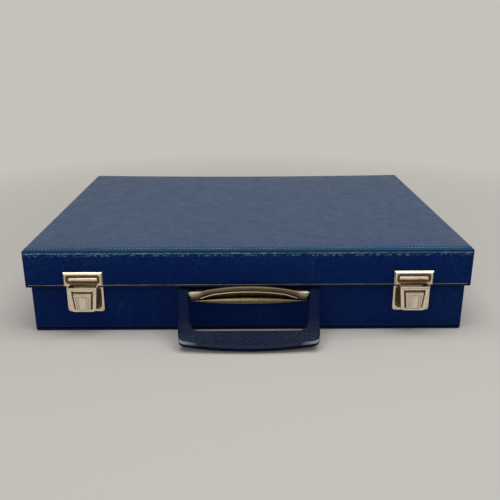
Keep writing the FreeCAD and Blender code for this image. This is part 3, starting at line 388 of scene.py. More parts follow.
class Painter:
    """Short names for the nodes that paint a material or light the world."""

    def __init__(self, tree):
        self.tree = tree

    def put(self, socket, given):
        """Write a value into a socket, or link another node's output to it."""
        if isinstance(given, bpy.types.NodeSocket):
            self.tree.links.new(given, socket)
        else:
            socket.default_value = given

    def fill(self, node, **inputs):
        for name, given in inputs.items():
            self.put(node.inputs[name.replace("_", " ")], given)
        return node

    def node(self, kind, **inputs):
        return self.fill(self.tree.nodes.new(f"ShaderNode{kind}"), **inputs)

    def wire(self, **inputs):
        self.fill(self.tree.nodes["Principled BSDF"], **inputs)

    def combine(self, kind, *given):
        """One sum over all that is given, two at a time."""
        total = given[0]
        for value in given[1:] or (0,):
            node = self.tree.nodes.new("ShaderNodeMath")
            node.operation = kind
            for socket, part in zip(node.inputs, (total, value)):
                self.put(socket, part)
            total = node.outputs["Value"]
        return total

    times = partialmethod(combine, "MULTIPLY")
    plus = partialmethod(combine, "ADD")
    less = partialmethod(combine, "SUBTRACT")
    most = partialmethod(combine, "MAXIMUM")
    size = partialmethod(combine, "ABSOLUTE")

    def coordinates(self, kind="Object"):
        return self.tree.nodes.new("ShaderNodeTexCoord").outputs[kind]

    def place(self, axis):
        """Where a spot lies on the object."""
        return self.node("SeparateXYZ", Vector=self.coordinates()).outputs[axis]

    def facing(self, axis):
        """Which way a spot of the object faces."""
        return self.node("SeparateXYZ", Vector=self.coordinates("Normal")).outputs[axis]

    def mapped(self, stretch=(1, 1, 1)):
        return self.node("Mapping", Vector=self.coordinates(), Scale=stretch).outputs["Vector"]

    def noise(self, size, detail=3.0, roughness=0.5, distortion=0.0, stretch=(1, 1, 1)):
        """Cloudy pattern whose patches are about the given size across."""
        return self.node("TexNoise", Vector=self.mapped(stretch), Scale=1 / size, Detail=detail, Roughness=roughness,
                         Distortion=distortion).outputs["Fac"]

    def pebbles(self, size):
        texture = self.node("TexVoronoi", Vector=self.mapped(), Scale=1 / size)
        texture.feature = "SMOOTH_F1"
        return texture.outputs["Distance"]

    def span(self, given, low, high, start=0.0, end=1.0):
        """Remap a pattern between low and high to start and end, held at both ends."""
        return self.node("MapRange", Value=given, From_Min=low, From_Max=high, To_Min=start,
                         To_Max=end).outputs["Result"]

    def stripe(self, given, low, high, soft):
        """1 between low and high, fading to 0 outside."""
        return self.times(self.span(given, low - soft, low), self.span(given, high, high + soft, 1, 0))

    def hairlines(self, size, width):
        """Fine wandering lines where a cloudy pattern crosses its middle."""
        return self.span(self.size(self.less(self.noise(size, 3, 0.6, 1.4), 0.5)), 0.0, width, 1, 0)

    # Used as painted shade in the corners of the cloth and as tarnish in the hollows of the metal.
    def grime_and_shade(self, reach):
        """How deep a spot lies in a corner or crevice, from 0 in the open to 1."""
        shade = self.node("AmbientOcclusion", Distance=reach)
        shade.samples = 8
        return self.span(shade.outputs["AO"], 0.25, 0.95, 1.0, 0.0)

    def blend(self, share, first, second):
        node = self.tree.nodes.new("ShaderNodeMix")
        node.data_type = "RGBA"
        self.put(node.inputs["Factor"], share)
        for socket, given in zip((node.inputs[6], node.inputs[7]), (first, second)):
            self.put(socket, given if isinstance(given, bpy.types.NodeSocket) else (*given, 1))
        return node.outputs[2]

    def relief(self, height, depth):
        self.wire(Normal=self.node("Bump", Height=height, Distance=depth, Strength=1.0).outputs["Normal"])

    def looked_at(self):
        """1 for the camera and for mirrors, and 0 for light that falls on the object."""
        path = self.tree.nodes.new("ShaderNodeLightPath").outputs
        return self.most(path["Is Camera Ray"], path["Is Glossy Ray"], path["Is Transmission Ray"])

    def mix_surfaces(self, share, first, second, end):
        """Send a mix of two surfaces to the node at the end of the tree."""
        blend = self.node("MixShader", Fac=share)
        for socket, surface in zip(blend.inputs[1:], (first, second)):
            self.tree.links.new(surface.outputs[0], socket)
        self.fill(self.tree.nodes[end], Surface=blend.outputs["Shader"])


def made(name, base, roughness, paint, metallic=0.0, specular=0.5):
    """The named material, painted when it is first asked for."""
    material = bpy.data.materials.get(name)
    if not material:
        material = bpy.data.materials.new(name)
        material.use_nodes = True
        painter = Painter(material.node_tree)
        painter.wire(Base_Color=(*base, 1), Roughness=roughness, Metallic=metallic, Specular_IOR_Level=specular)
        paint(painter)
    return material


def darker(base, share):
    return tuple(share * part for part in base)


def leathercloth(look):
    """Grained cloth: pebbled, rubbed in clouds, scratched, frayed below the front fold with a painted highlight there,
    paled where it faces up by dust and a painted sheen, and darkened by painted shade in its corners.
    """
    fold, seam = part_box("lid_front_band")[0][Z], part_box("base_wall_cover")[0][Z]

    def paint(on):
        on.wire(Sheen_Weight=look.haze, Sheen_Roughness=0.2, Sheen_Tint=(0.5, 0.8, 1.0, 1))
        height, upward = on.place(Z), on.span(on.facing(Z), 0.5, 0.95)
        in_front = on.span(on.facing(Y), -0.95, -0.8, 1, 0)
        mottle = on.span(on.noise(3.5 * MM, 5, 0.6), 0.4, 0.75, 0.0, 0.3)
        clouds = on.times(on.span(on.noise(70 * MM, 4), 0.42, 0.75), 0.2)
        scratches = on.times(on.hairlines(22 * MM, 0.012), on.span(on.noise(40 * MM, 2), 0.48, 0.62), 0.8)
        scuffs = on.times(on.hairlines(4.5 * MM, 0.035), in_front, on.span(height, fold - 13 * MM, fold, 0.05, 0.8))
        rubbed = on.blend(on.plus(mottle, clouds, scratches, scuffs), look.navy, look.rubbed)
        # Painted highlight with some wear: pale flecks just below the front fold.
        fold_glints_and_wear = on.times(in_front, on.span(height, fold - 2.2 * MM, fold - 0.2 * MM, 0.0, 0.8),
                          on.span(on.noise(2.6 * MM, 4, 0.7), 0.5, 0.64))
        worn = on.blend(fold_glints_and_wear, rubbed, look.arris)
        # Painted sheen with some dust: what faces up pales to the dust and sheen colour, and then takes its fine marks.
        sheen_and_dust_share = on.less(on.span(on.noise(18 * MM, 5, 0.6), 0.2, 0.8, 0.86, 1.0),
                          on.times(on.hairlines(9 * MM, 0.05), 0.35))
        paled_upward = on.blend(on.times(upward, sheen_and_dust_share), worn, look.dust_and_sheen)
        marked = on.blend(on.times(upward, on.hairlines(6 * MM, 0.03), 0.3), paled_upward, look.marks)
        turn_in = on.times(on.stripe(height, seam + 0.2 * MM, seam + 0.9 * MM, 0.3 * MM),
                           on.span(on.noise(60 * MM, 3), 0.3, 0.7, 0.15, 0.9))
        # Painted shade in the corners and in a line just below the seam at the foot of the walls.
        shade_in_corners = on.most(on.grime_and_shade(5 * MM), on.stripe(height, seam - 1.2 * MM, seam - 0.4 * MM, 0.3 * MM))
        on.wire(Base_Color=on.blend(shade_in_corners, on.blend(turn_in, marked, look.rubbed), look.shade_in_corners),
                Roughness=on.span(on.noise(12 * MM, 5), 0.3, 0.7, 0.34, 0.48))
        on.relief(on.plus(on.pebbles(look.grain), on.times(on.noise(9 * MM, 5, 0.6), 1.1)), 0.13 * MM)

    return made("grained_cloth", look.navy, 0.4, paint, specular=0.04)


def band_cloth(look):
    """Smoother cloth of the folded band, lighter than the navy partly by a painted sheen, with painted shade in a dark
    crease along it and behind its stitches, and pale flecks near its lower edge that are partly wear and partly a
    painted highlight.
    """
    low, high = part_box("lid_front_band")
    foot, rear = low[Z], high[Y] - look.tuck

    def paint(on):
        height = on.place(Z)
        ragged = on.plus(height, on.span(on.noise(2 * MM, 4, 0.7), 0.35, 0.65, -0.5 * MM, 0.5 * MM))
        # Painted highlight, partly real wear: a ragged pale line low on the band's front.
        edge_glints_and_wear = on.times(on.stripe(ragged, foot + 0.7 * MM, foot + 1.7 * MM, 0.35 * MM),
                        on.span(on.noise(2.4 * MM, 4, 0.7), 0.42, 0.6, 0.2, 1.0),
                        on.span(on.noise(45 * MM, 3), 0.35, 0.65, 0.35, 1.0))
        turned_in = on.span(height, foot + 0.3 * MM, foot + 0.6 * MM, 1, 0)
        # Painted shade: the band darkens to navy behind its stitches, next to the edge of the top's cloth.
        under = on.span(on.place(Y), rear - 2.1 * MM, rear - 1.6 * MM, 0.0, 0.85)
        # Painted shade: a dark line along the band's rounded edge, where no groove is modelled.
        crease = on.times(on.stripe(height, foot + 2.9 * MM, foot + 3.4 * MM, 0.3 * MM), 0.8)
        cloth = on.blend(on.most(turned_in, under, crease), look.band, look.navy)
        on.wire(Base_Color=on.blend(edge_glints_and_wear, cloth, look.arris))
        on.relief(on.plus(on.pebbles(look.grain * 0.8), on.noise(5 * MM, 4)), 0.12 * MM)

    return made("folded_band_cloth", look.band, 0.5, paint, specular=0.05)


def mottled(name, base, roughness, share, pattern, tones, relief, **settings):
    """A finish that wanders between its colour and a darker share of it, with a slight relief."""
    def paint(on):
        on.wire(Base_Color=on.blend(on.span(on.noise(*pattern), *tones), base, darker(base, share)))
        on.relief(on.noise(*relief[:-1]), relief[-1])

    return made(name, base, roughness, paint, **settings)


def plain_thread(look):
    return mottled("thread", look.thread, 0.8, 0.35, (25 * MM, 3), (0.35, 0.7, 1, 0), (0.3 * MM, 2, 0.05 * MM),
                   specular=0.2)


def edge_cord(look):
    return mottled("bound_edge", look.cord, 0.55, 0.22, (18 * MM, 4, 0.6), (0.4, 0.7, 1, 0), (1.5 * MM, 4, 0.1 * MM),
                   specular=0.1)


def tarnished_and_shaded(look):
    """Plating gone brown and dull where nothing rubs it, and dark as painted shade."""
    return mottled("shaded_tarnished_nickel", look.tarnish_and_shade, 0.5, 0.3, (3 * MM, 5, 0.7), (0.35, 0.7),
                   (1.2 * MM, 4, 0.05 * MM), metallic=1.0)


def wood(look):
    """Sawn softwood with its grain along the case."""
    lines = (1.6 * MM, 4, 0.6, 0.6, (0.05, 0.05, 1))
    return mottled("sawn_wood", look.wood, 0.62, 0.62, lines, (0.35, 0.7), (*lines, 0.06 * MM), specular=0.3)


def old_plating(name, plating, look, front=None):
    """Old plating: cloudy in the open and brown in the corners, with painted shade on its flanks and on what lies
    behind its front.
    """
    def paint(on):
        clouds = on.times(on.span(on.noise(7 * MM, 5, 0.6), 0.5, 0.8), 0.4)
        pits = on.times(on.span(on.noise(0.8 * MM, 3, 0.7), 0.66, 0.78), 0.5)
        tarnish_and_shade = on.most(on.grime_and_shade(2.2 * MM), clouds, pits)
        if front is not None:
            # Painted shade: the flanks and the faces that lie behind the front darken to the tarnish colour.
            flank_shade = on.span(on.size(on.facing(X)), 0.8, 0.95)
            behind = on.times(on.span(on.facing(Y), -0.95, -0.85, 1, 0),
                              on.span(on.place(Y), front + 0.45 * MM, front + 0.7 * MM))
            tarnish_and_shade = on.most(tarnish_and_shade, flank_shade, behind)
        on.wire(Base_Color=on.blend(tarnish_and_shade, plating, look.tarnish_and_shade), Roughness=on.span(tarnish_and_shade, 0.0, 0.8, 0.24, 0.5))
        on.relief(on.noise(1.6 * MM, 4), 0.025 * MM)

    return made(name, plating, 0.25, paint, metallic=1.0)


def nickel(look):
    return old_plating("rubbed_nickel", look.nickel, look)


def worn_brass(look):
    return old_plating("worn_brass", look.brass, look)


def antique_nickel(look):
    """Browned plating of the bracket, still bright at its ends."""
    def paint(on):
        reach = on.plus(on.size(on.place(X)), on.times(on.noise(5 * MM, 4, 0.6), 12 * MM))
        worn = on.blend(on.span(reach, 46 * MM, 56 * MM), look.antique, darker(look.nickel, 0.36))
        streaks = on.span(on.noise(1.2 * MM, 4, 0.7, stretch=(0.15, 1, 1)), 0.45, 0.7, 0.0, 0.75)
        dark = on.most(on.grime_and_shade(2.2 * MM), streaks)
        on.wire(Base_Color=on.blend(dark, worn, look.tarnish_and_shade), Roughness=on.span(dark, 0.0, 0.8, 0.26, 0.45))
        on.relief(on.noise(1.4 * MM, 4), 0.03 * MM)

    return made("antique_nickel", look.antique, 0.3, paint, metallic=1.0)


def plain_steel(look):
    """Drawn steel with fine lines along it."""
    def paint(on):
        lines = on.noise(0.5 * MM, 3, 0.6, stretch=(0.04, 1, 1))
        on.wire(Base_Color=on.blend(on.span(lines, 0.35, 0.75), look.steel, darker(look.steel, 0.6)),
                Roughness=on.span(lines, 0.3, 0.7, 0.28, 0.45))
        on.relief(lines, 0.02 * MM)

    return made("plain_steel", look.steel, 0.35, paint, metallic=1.0)


def moulding(look):
    """Hard moulded plastic with a pressed leather grain, polished by the hand on its bar, with painted glints on the
    grain of what faces up and a painted highlight along its lower rim.
    """
    def paint(on):
        height, reach = on.place(Z), on.size(on.place(X))
        upward = on.span(on.facing(Z), -0.1, 0.4, 0.1, 1.0)
        lean = on.times(on.less(on.facing(Z), on.facing(Y)), math.sqrt(0.5))
        # Painted highlight along the lower rim, brightest at the corners.
        rim_highlight = on.times(on.stripe(lean, 0.5, 0.94, 0.06), on.span(height, 11 * MM, 13 * MM, 1, 0),
                           on.span(reach, 44 * MM, 58 * MM, 0.06, 1.0))
        # Painted glints on the grain where it faces up, most on the bar towards its ends.
        grain_glints = on.times(on.span(reach, 20 * MM, 52 * MM, 0.25, 1.0), on.span(on.noise(1.3 * MM, 2), 0.52, 0.66),
                          on.span(height, 14 * MM, 26 * MM, 0.7, 0.0), upward)
        polish = on.times(on.span(height, 12 * MM, 26 * MM, 0.1, 0.03), upward)
        on.wire(Base_Color=on.blend(rim_highlight, on.blend(grain_glints, look.moulding, look.grain_glints), look.rubbed),
                Specular_IOR_Level=on.plus(polish, on.times(rim_highlight, 0.3)),
                Roughness=on.span(on.noise(6 * MM, 4), 0.3, 0.7, 0.28, 0.42))
        on.relief(on.plus(on.pebbles(1.5 * MM), on.noise(1.8 * MM, 5, 0.7)), 0.5 * MM)

    return made("grained_moulding", look.moulding, 0.4, paint)


def plastic(name, base, roughness=0.38):
    """Moulded plastic with faint scuffs."""
    def paint(on):
        scuffs = on.span(on.noise(8 * MM, 5, 0.6), 0.4, 0.7, 0.0, 0.4)
        on.wire(Base_Color=on.blend(scuffs, base, darker(base, 0.8)),
                Roughness=on.span(on.noise(3 * MM, 4), 0.3, 0.7, roughness - 0.08, roughness + 0.12))
        on.relief(on.noise(0.8 * MM, 3), 0.02 * MM)

    return made(name, base, roughness, paint)


def greyboard(look):
    """Pulp board flecked with fibres."""
    def paint(on):
        fibres = on.most(on.hairlines(3 * MM, 0.02), on.span(on.noise(6 * MM, 5, 0.7), 0.45, 0.8))
        on.wire(Base_Color=on.blend(fibres, look.greyboard, darker(look.greyboard, 0.72)))
        on.relief(on.noise(0.7 * MM, 4), 0.05 * MM)

    return made("pulp_board", look.greyboard, 0.85, paint, specular=0.15)


# Covered case

CORNER_STEPS, EDGE_STEPS = 6, 4


def ring(name, node, radius):
    """The four walls of a node's box as one thin strip bent round the upright corners."""
    walls = add_box(name, *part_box(node))
    drop_faces(walls, lambda face: abs(face.normal[Z]) > 0.9)
    bevel(walls, along(Z), radius, CORNER_STEPS)
    return walls


def soften(obj, test, width=0.35 * MM, steps=2):
    bevel(obj, test, width, steps)


def stitch_row(name, start, axis, reach, pitch, size):
    """A straight row of stitches, each a short rounded length of thread half sunk in the cloth."""
    length, girth = size
    half, step = Vector([girth / 2] * 3), Vector()
    half[axis], step[axis] = length / 2, pitch
    thread = add_box(name, Vector(start) - half, Vector(start) + half)
    bevel(thread, along(axis), girth * 0.28, 1)
    bevel(thread, lambda edge: not runs_along(edge, axis) and near(
        abs(middle(edge)[axis] - start[axis]), length / 2, 0.05 * MM), girth * 0.25, 1)
    repeat(thread, int(reach / pitch) + 1, step)
    return thread


class FLEET_CASE_OT_lid(bpy.types.Operator):
    """Covered lid: top board, walls, folded front band, bound lower edge and their stitches."""
    bl_idname = "fleet_case.lid"
    bl_label = "Lid"

    def execute(self, context):
        look = context.scene.fleet_cloth
        cloth = leathercloth(look)
        low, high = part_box("lid_top_panel")
        top = add_box("lid_top_cloth", low, high)
        bevel(top, along(Z), look.corner, CORNER_STEPS)
        bevel(top, level(Z, high[Z]), look.edge, EDGE_STEPS)
        slice_at(top, X, [step * 25 * MM for step in range(-7, 8)])
        slice_at(top, Y, [low[Y] + step * 44 * MM for step in range(1, 7)])

        def sink(spot):
            depth = (spot[Y] - low[Y]) / (high[Y] - low[Y])
            crown = 1 - (spot[X] / high[X]) ** 2
            rise = (spot[Z] - low[Z]) / (high[Z] - low[Z])
            spot[Z] -= look.sag * crown * depth ** 1.5 * rise
            return spot

        move(top, sink)
        finish_piece(top, "lid", cloth, ["lid_top_panel"])

        walls = ring("lid_wall_cloth", "lid_wall_cover", look.corner)
        thicken(walls, look.skin)
        soften(walls, sharp_at(Z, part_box("lid_wall_cover")[1][Z]))
        finish_piece(walls, "lid", cloth, ["lid_wall_cover"])

        self.band(look)
        self.binding(look)
        return {"FINISHED"}

    def band(self, look):
        """Strip folded over the front edge, stitched along the groove near its rear edge."""
        low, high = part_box("lid_front_band")
        high = high - Vector((0, look.tuck, 0))
        band = add_box("lid_front_band_fold", low, high)
        drop_faces(band, lambda face: face.normal[Z] < -0.9 or face.normal[Y] > 0.9 or abs(face.normal[X]) > 0.9)
        bevel(band, along(X, {Y: low[Y], Z: high[Z]}), 2.8 * MM, 8)
        line, groove = high[Y] - 2.8 * MM, 0.5 * MM
        slice_at(band, Y, [line - groove, line, line + groove])
        move(band, lambda spot: spot - Vector((0, 0, 0.3 * MM)) if near(spot[Y], line) else spot)
        thicken(band, look.skin)
        move(band, lambda spot: spot + Vector((0, 0.7 * MM, 0))
             if near(spot[Z], low[Z], 0.1 * MM) and near(spot[Y], low[Y]) else spot)
        soften(band, along(X, {Y: high[Y], Z: high[Z]}))
        finish_piece(band, "lid", band_cloth(look), ["lid_front_band"])
        reach = high[X] - 3 * MM
        row = stitch_row("band_stitches", (-reach, line, high[Z] - 0.1 * MM), X, 2 * reach, 3.2 * MM,
                         (2.1 * MM, 0.55 * MM))
        finish_piece(row, "lid", plain_thread(look))

    def binding(self, look):
        """Bound lower edge with a row of stitches above it on the front and both ends."""
        hem = ring("lid_edge_cord", "lid_edge_binding", look.corner)
        low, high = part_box("lid_edge_binding")
        thicken(hem, look.skin)
        soften(hem, sharp, 0.3 * MM, 3)
        finish_piece(hem, "lid", edge_cord(look), ["lid_edge_binding"])
        level_z, pitch, size, margin = high[Z] + 0.5 * MM, 2.3 * MM, (1.35 * MM, 0.6 * MM), 4 * MM
        reach, depth = high[X] - margin, high[Y] - low[Y] - 2 * margin
        rows = [stitch_row("hem_stitches", (-reach, low[Y], level_z), X, 2 * reach, pitch, size)]
        rows += [stitch_row("hem_side", (x, low[Y] + margin, level_z), Y, depth, pitch, size)
                 for x in (low[X], high[X])]
        finish_piece(join(*rows), "lid", plain_thread(look))


class FLEET_CASE_OT_base(bpy.types.Operator):
    """Covered base: bottom board and walls, whose lip stands up inside the lid."""
    bl_idname = "fleet_case.base"
    bl_label = "Base"

    def execute(self, context):
        look = context.scene.fleet_cloth
        cloth = leathercloth(look)
        low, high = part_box("base_bottom_panel")
        bottom = add_box("base_bottom_cloth", low, high)
        bevel(bottom, along(Z), look.corner, CORNER_STEPS)
        bevel(bottom, level(Z, low[Z]), look.edge, EDGE_STEPS)
        soften(bottom, level(Z, high[Z]), 0.5 * MM)
        finish_piece(bottom, "base", cloth, ["base_bottom_panel"])

        walls = ring("base_wall_cloth", "base_wall_cover", look.corner)
        low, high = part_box("base_wall_cover")
        lip, back = SEAM - 0.4 * MM, high[Y] - 3.8 * MM
        slice_at(walls, Z, [lip])
        slice_at(walls, Y, [back])
        drop_faces(walls, lambda face: middle(face)[Z] > lip and middle(face)[Y] > back)
        thicken(walls, look.skin)
        soften(walls, sharp_at(Z, low[Z]), 0.5 * MM)
        room, room_floor = Vector(mm(14.5, 5, 0)), 52.4 * MM
        for side in SIDES:  # room in the lip for the prongs of the keepers
            foot = Vector((centre(f"latch_keeper_{side}")[X], low[Y], room_floor))
            head = Vector((foot[X], low[Y], high[Z] + 5 * MM))
            cut_away(walls, add_box("cutter", foot - room, head + room))
        finish_piece(walls, "base", cloth, ["base_wall_cover"])
        return {"FINISHED"}


# Fittings: latches, bracket, handle and hinges

KEEPER_FACE = LID_FACE - 2 * MM
LEAF = 1.2 * MM


def bent_prong(x, z, front, through):
    """Flat tab that runs back through a wall and is bent up against its inside."""
    half, flat = mm(2.5, 0.5)
    tab = add_box("prong", (x - half, front, z - flat), (x + half, through + MM, z + flat))
    slice_at(tab, Y, [through])
    edit(tab, "FACE", lambda face: face.normal[Z] > 0.9 and middle(face)[Y] > through)
    extrude((0, 0, 4 * MM))
    leave()
    bevel(tab, sharp, 0.2 * MM, 1)
    return tab


def rivet_heads(name, spots, face, grip, outside):
    """Domed rivets along Y through a wall, each with a clenched tail inside."""
    head, neck, clench, rise = mm(1.8, 1.35, 2.2, 0.7)
    pieces = []
    for x, z in spots:
        dome = add_rod(name, (x, face + outside * rise / 2, z), head, rise, Y, 16)
        bevel(dome, lambda edge: all(abs(vert.co[Y] - face) > 0.6 * MM for vert in edge.verts) and sharp(edge),
              0.55 * MM, 3)
        pieces += [dome, add_rod("shank", (x, face - outside * grip / 2, z), neck, grip, Y, 10),
                   add_rod("tail", (x, face - outside * (grip + rise / 2), z), clench, rise, Y, 12)]
    return named(join(*pieces), name)


class FLEET_CASE_OT_latches(bpy.types.Operator):
    """Press latches: keeper on the lid, back plate, housing and button on the base."""
    bl_idname = "fleet_case.latches"
    bl_label = "Latches"
    rivet_reach, rivet_drop = mm(14.2, 21.5)

    def execute(self, context):
        metal = context.scene.fleet_metal
        rivets = []
        for side in SIDES:
            x = centre(f"latch_housing_{side}")[X]
            finish_piece(self.tongue(x, side), "lid", worn_brass(metal))
            for word, body, build in (("keeper", "lid", self.keeper), ("back_plate", "base", self.back_plate),
                                      ("housing", "base", self.housing),
                                      ("button", f"latch_button_{side}", self.button)):
                node = f"latch_{word}_{side}"
                front = KEEPER_FACE if word == "keeper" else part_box(node)[0][Y]
                finish_piece(build(x, side), body, old_plating(f"{word}_nickel", metal.nickel, metal, front),
                             [node], 30)
            rivets += [(x + sign * self.rivet_reach, SEAM - self.rivet_drop) for sign in SIGNS]
            dress_nodes(plain_steel(metal), f"latch_catch_{side}")
            self.spring(side, plain_steel(metal))
        heads = rivet_heads("latch_rivet_heads", rivets, BASE_FACE - MM, WALL + MM, -1)
        finish_piece(heads, "base", nickel(metal), ["latch_rivets"])
        return {"FINISHED"}

    def spring(self, side, steel):
        """Leaf that stands on the back plate and leans forward from its knee to the button it bears on."""
        low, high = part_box(f"latch_spring_{side}")
        knee, top = low[Z] + 4 * MM, low[Z] + 8 * MM
        back = high[Y] - 0.5 * MM
        leaf = add_box(f"latch_leaf_{side}", (low[X], back, low[Z]), high)
        slice_at(leaf, Z, [knee + share * (top - knee) for share in (0, 0.25, 0.5, 0.75, 1)])
        move(leaf, lambda spot: spot - Vector((0, (back - low[Y]) * held((spot[Z] - knee) / (top - knee)), 0)))
        finish_piece(leaf, None, steel, [f"latch_spring_{side}"])
        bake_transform(leaf)

    def keeper(self, x, side):
        """Plate with a mitred rim, a sunk round-cornered panel with a bead, and an arched edge over the tongue."""
        low, high, half, drop = SEAM + 1.8 * MM, SEAM + 14.8 * MM, 17.5 * MM, 0.6 * MM
        plate = add_box(f"keeper_plate_{side}", (x - half, KEEPER_FACE, low), (x + half, LID_FACE, high))
        bevel(plate, level(Y, KEEPER_FACE), 1.2 * MM, 1)
        inset(plate, looks_forward, (1.1 * MM, 0), (0.25 * MM, -0.95 * MM))
        bevel(plate, lambda edge: abs(edge.verts[0].co[Y] - edge.verts[1].co[Y]) > 0.9 * MM
              and abs(middle(edge)[X] - x) < half - 1.5 * MM, 2.2 * MM, 4)
        move(plate, lambda spot: spot - Vector((0, 0, drop)) if spot[Z] < low + 1.3 * MM else spot)
        radius, rise = mm(35, 2.4)
        cut_away(plate, add_rod("cutter", (x, KEEPER_FACE, low - drop + rise - radius), radius, 2 * MM, Y, 96))
        reach, crown = 13.2 * MM, KEEPER_FACE - 0.1 * MM
        bead = add_box("bead", (x - reach, crown, low + 4.7 * MM), (x + reach, KEEPER_FACE + 1.3 * MM, low + 7.9 * MM))
        bevel(bead, along(Y), 1.3 * MM, 4)
        bevel(bead, level(Y, crown), 1.2 * MM, 4)
        prongs = [bent_prong(x + sign * 11 * MM, SEAM + 9.4 * MM, LID_FACE - 0.5 * MM, LID_FACE + WALL)
                  for sign in SIGNS]
        return join(plate, bead, *prongs)

    def tongue(self, x, side):
        """Tongue of the keeper, which drops into the housing and narrows on the way."""
        half = 12.5 * MM
        blade = add_box(f"keeper_tongue_{side}", (x - half, KEEPER_FACE + 0.4 * MM, SEAM - 6.5 * MM),
                        (x + half, KEEPER_FACE + 1.4 * MM, SEAM + 4.1 * MM))
        slice_at(blade, Z, [SEAM - 1.2 * MM, SEAM + 0.3 * MM])
        move(blade, lambda spot: scaled(spot, (x, 0, 0), (0.8 if spot[Z] < SEAM + 0.2 * MM else 1, 1, 1)))
        return blade

    def back_plate(self, x, side):
        """Plate with rounded lower corners and a sunk middle, on which the housing stands."""
        front, low, half = BASE_FACE - MM, SEAM - 24.5 * MM, 16.5 * MM
        plate = add_box(f"latch_flange_{side}", (x - half, front, low), (x + half, BASE_FACE, SEAM - 0.5 * MM))
        bevel(plate, along(Y, {Z: low}), 2.5 * MM, 4)
        inset(plate, looks_forward, (2.2 * MM, 0), (0.4 * MM, -0.7 * MM))
        bevel(plate, sharp_at(Y, front), 0.3 * MM, 2)
        return plate

    def housing(self, x, side):
        """Tapered box with a window, open behind and above, with a beaded brow across its front."""
        low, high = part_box(f"latch_housing_{side}")
        front = low[Y]
        shell = add_box(f"latch_box_{side}", low, high)
        drop_faces(shell, lambda face: face.normal[Z] > 0.9 or face.normal[Y] > 0.9)
        top_half, foot_half = high[X] - x, high[X] - x - 2.3 * MM

        def half_at(z):
            return foot_half + (top_half - foot_half) * (z - low[Z]) / (high[Z] - low[Z])

        move(shell, lambda spot: scaled(spot, (x, 0, 0), (half_at(spot[Z]) / top_half, 1, 1)))
        bevel(shell, along(Y, {Z: low[Z]}), 3 * MM, 5)
        bevel(shell, lambda edge: level(Y, front)(edge) and not near(middle(edge)[Z], high[Z]), 0.7 * MM, 3)
        edit(shell, "FACE", looks_forward)
        bpy.ops.mesh.inset(thickness=2 * MM)
        corners = [vert for vert in bmesh.from_edit_mesh(shell.data).verts if vert.select]
        foot, head = (pick(vert.co[Z] for vert in corners) for pick in (min, max))
        for vert in corners:  # the window
            share = (vert.co[X] - x) / (half_at(vert.co[Z]) - 2.7 * MM)
            rise = (vert.co[Z] - foot) / (head - foot)
            vert.co[Z] = SEAM - (18.8 - 18.2 * rise) * MM
            vert.co[X] = x + share * (8.2 + 1.9 * rise) * MM
        bpy.ops.mesh.inset(thickness=0.5 * MM, depth=-0.4 * MM)
        bpy.ops.mesh.delete(type="FACE")
        leave()
        lip, behind = SEAM - 0.5 * MM, BASE_FACE - 6.4 * MM
        slice_at(shell, Z, [lip])
        slice_at(shell, Y, [behind])
        drop_faces(shell, lambda face: middle(face)[Z] > lip and middle(face)[Y] > behind)
        thicken(shell, 0.9 * MM)
        brow = []
        for z in (SEAM + 1.8 * MM, SEAM + 0.1 * MM):
            half, girth = half_at(z) - 0.2 * MM, 0.55 * MM
            brow.append(bar((x - half, front - 0.35 * MM, z - girth), (x + half, front + 0.3 * MM, z + girth),
                            0.3 * MM))
        return join(shell, *brow)

    def button(self, x, side):
        """Tapered press plate with an upper lip, two ridges each side and a flat middle."""
        low, high = SEAM - 18.5 * MM, SEAM - 3.3 * MM
        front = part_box(f"latch_button_{side}")[0][Y]
        face, back = front + 0.5 * MM, front + 3.4 * MM

        def half_at(z):
            return (6.7 + 1.6 * (z - low) / (high - low)) * MM

        def on_plate(left, right, crown, foot, head, round_off):
            return bar((x + left, front + crown, foot), (x + right, face + 0.2 * MM, head), round_off)

        half = half_at(high)
        plate = add_box(f"latch_press_plate_{side}", (x - half, face, low), (x + half, back, high))
        bevel(plate, level(Y, face), 0.4 * MM, 2)
        wide = half + 2.3 * MM
        margin = add_box("margin", (x - wide, face + 2.5 * MM, low - 0.4 * MM), (x + wide, back, high + 0.9 * MM))
        lip, flat = half - 0.4 * MM, 3.4 * MM
        extras = [on_plate(-lip, lip, -0.1 * MM, high - 2.2 * MM, high - 0.7 * MM, 0.28 * MM),
                  on_plate(-flat, flat, 0.05 * MM, low + 1.2 * MM, high - 2.9 * MM, 0.2 * MM)]
        for sign in SIGNS:
            for reach in (4.5 * MM, 6.5 * MM):
                inner, outer = sorted((sign * reach, sign * (reach + MM)))
                extras.append(on_plate(inner, outer, 0.1 * MM, low + 0.9 * MM, high - 2.7 * MM, 0.25 * MM))
        join(plate, margin, *extras)
        move(plate, lambda spot: scaled(spot, (x, 0, 0), (half_at(spot[Z]) / half, 1, 1)))
        return plate


BROW_RADIUS = 2.9 * MM


def arch(x):
    """Rise of the bracket's brow above its ends."""
    return 4.6 * MM * max(1 - (x / (44 * MM)) ** 2, 0)


def swell(x):
    """How much stouter the brow is towards its ends."""
    share = held((abs(x) - 30 * MM) / (20 * MM))
    return 1.2 * MM * share * share * (3 - 2 * share)


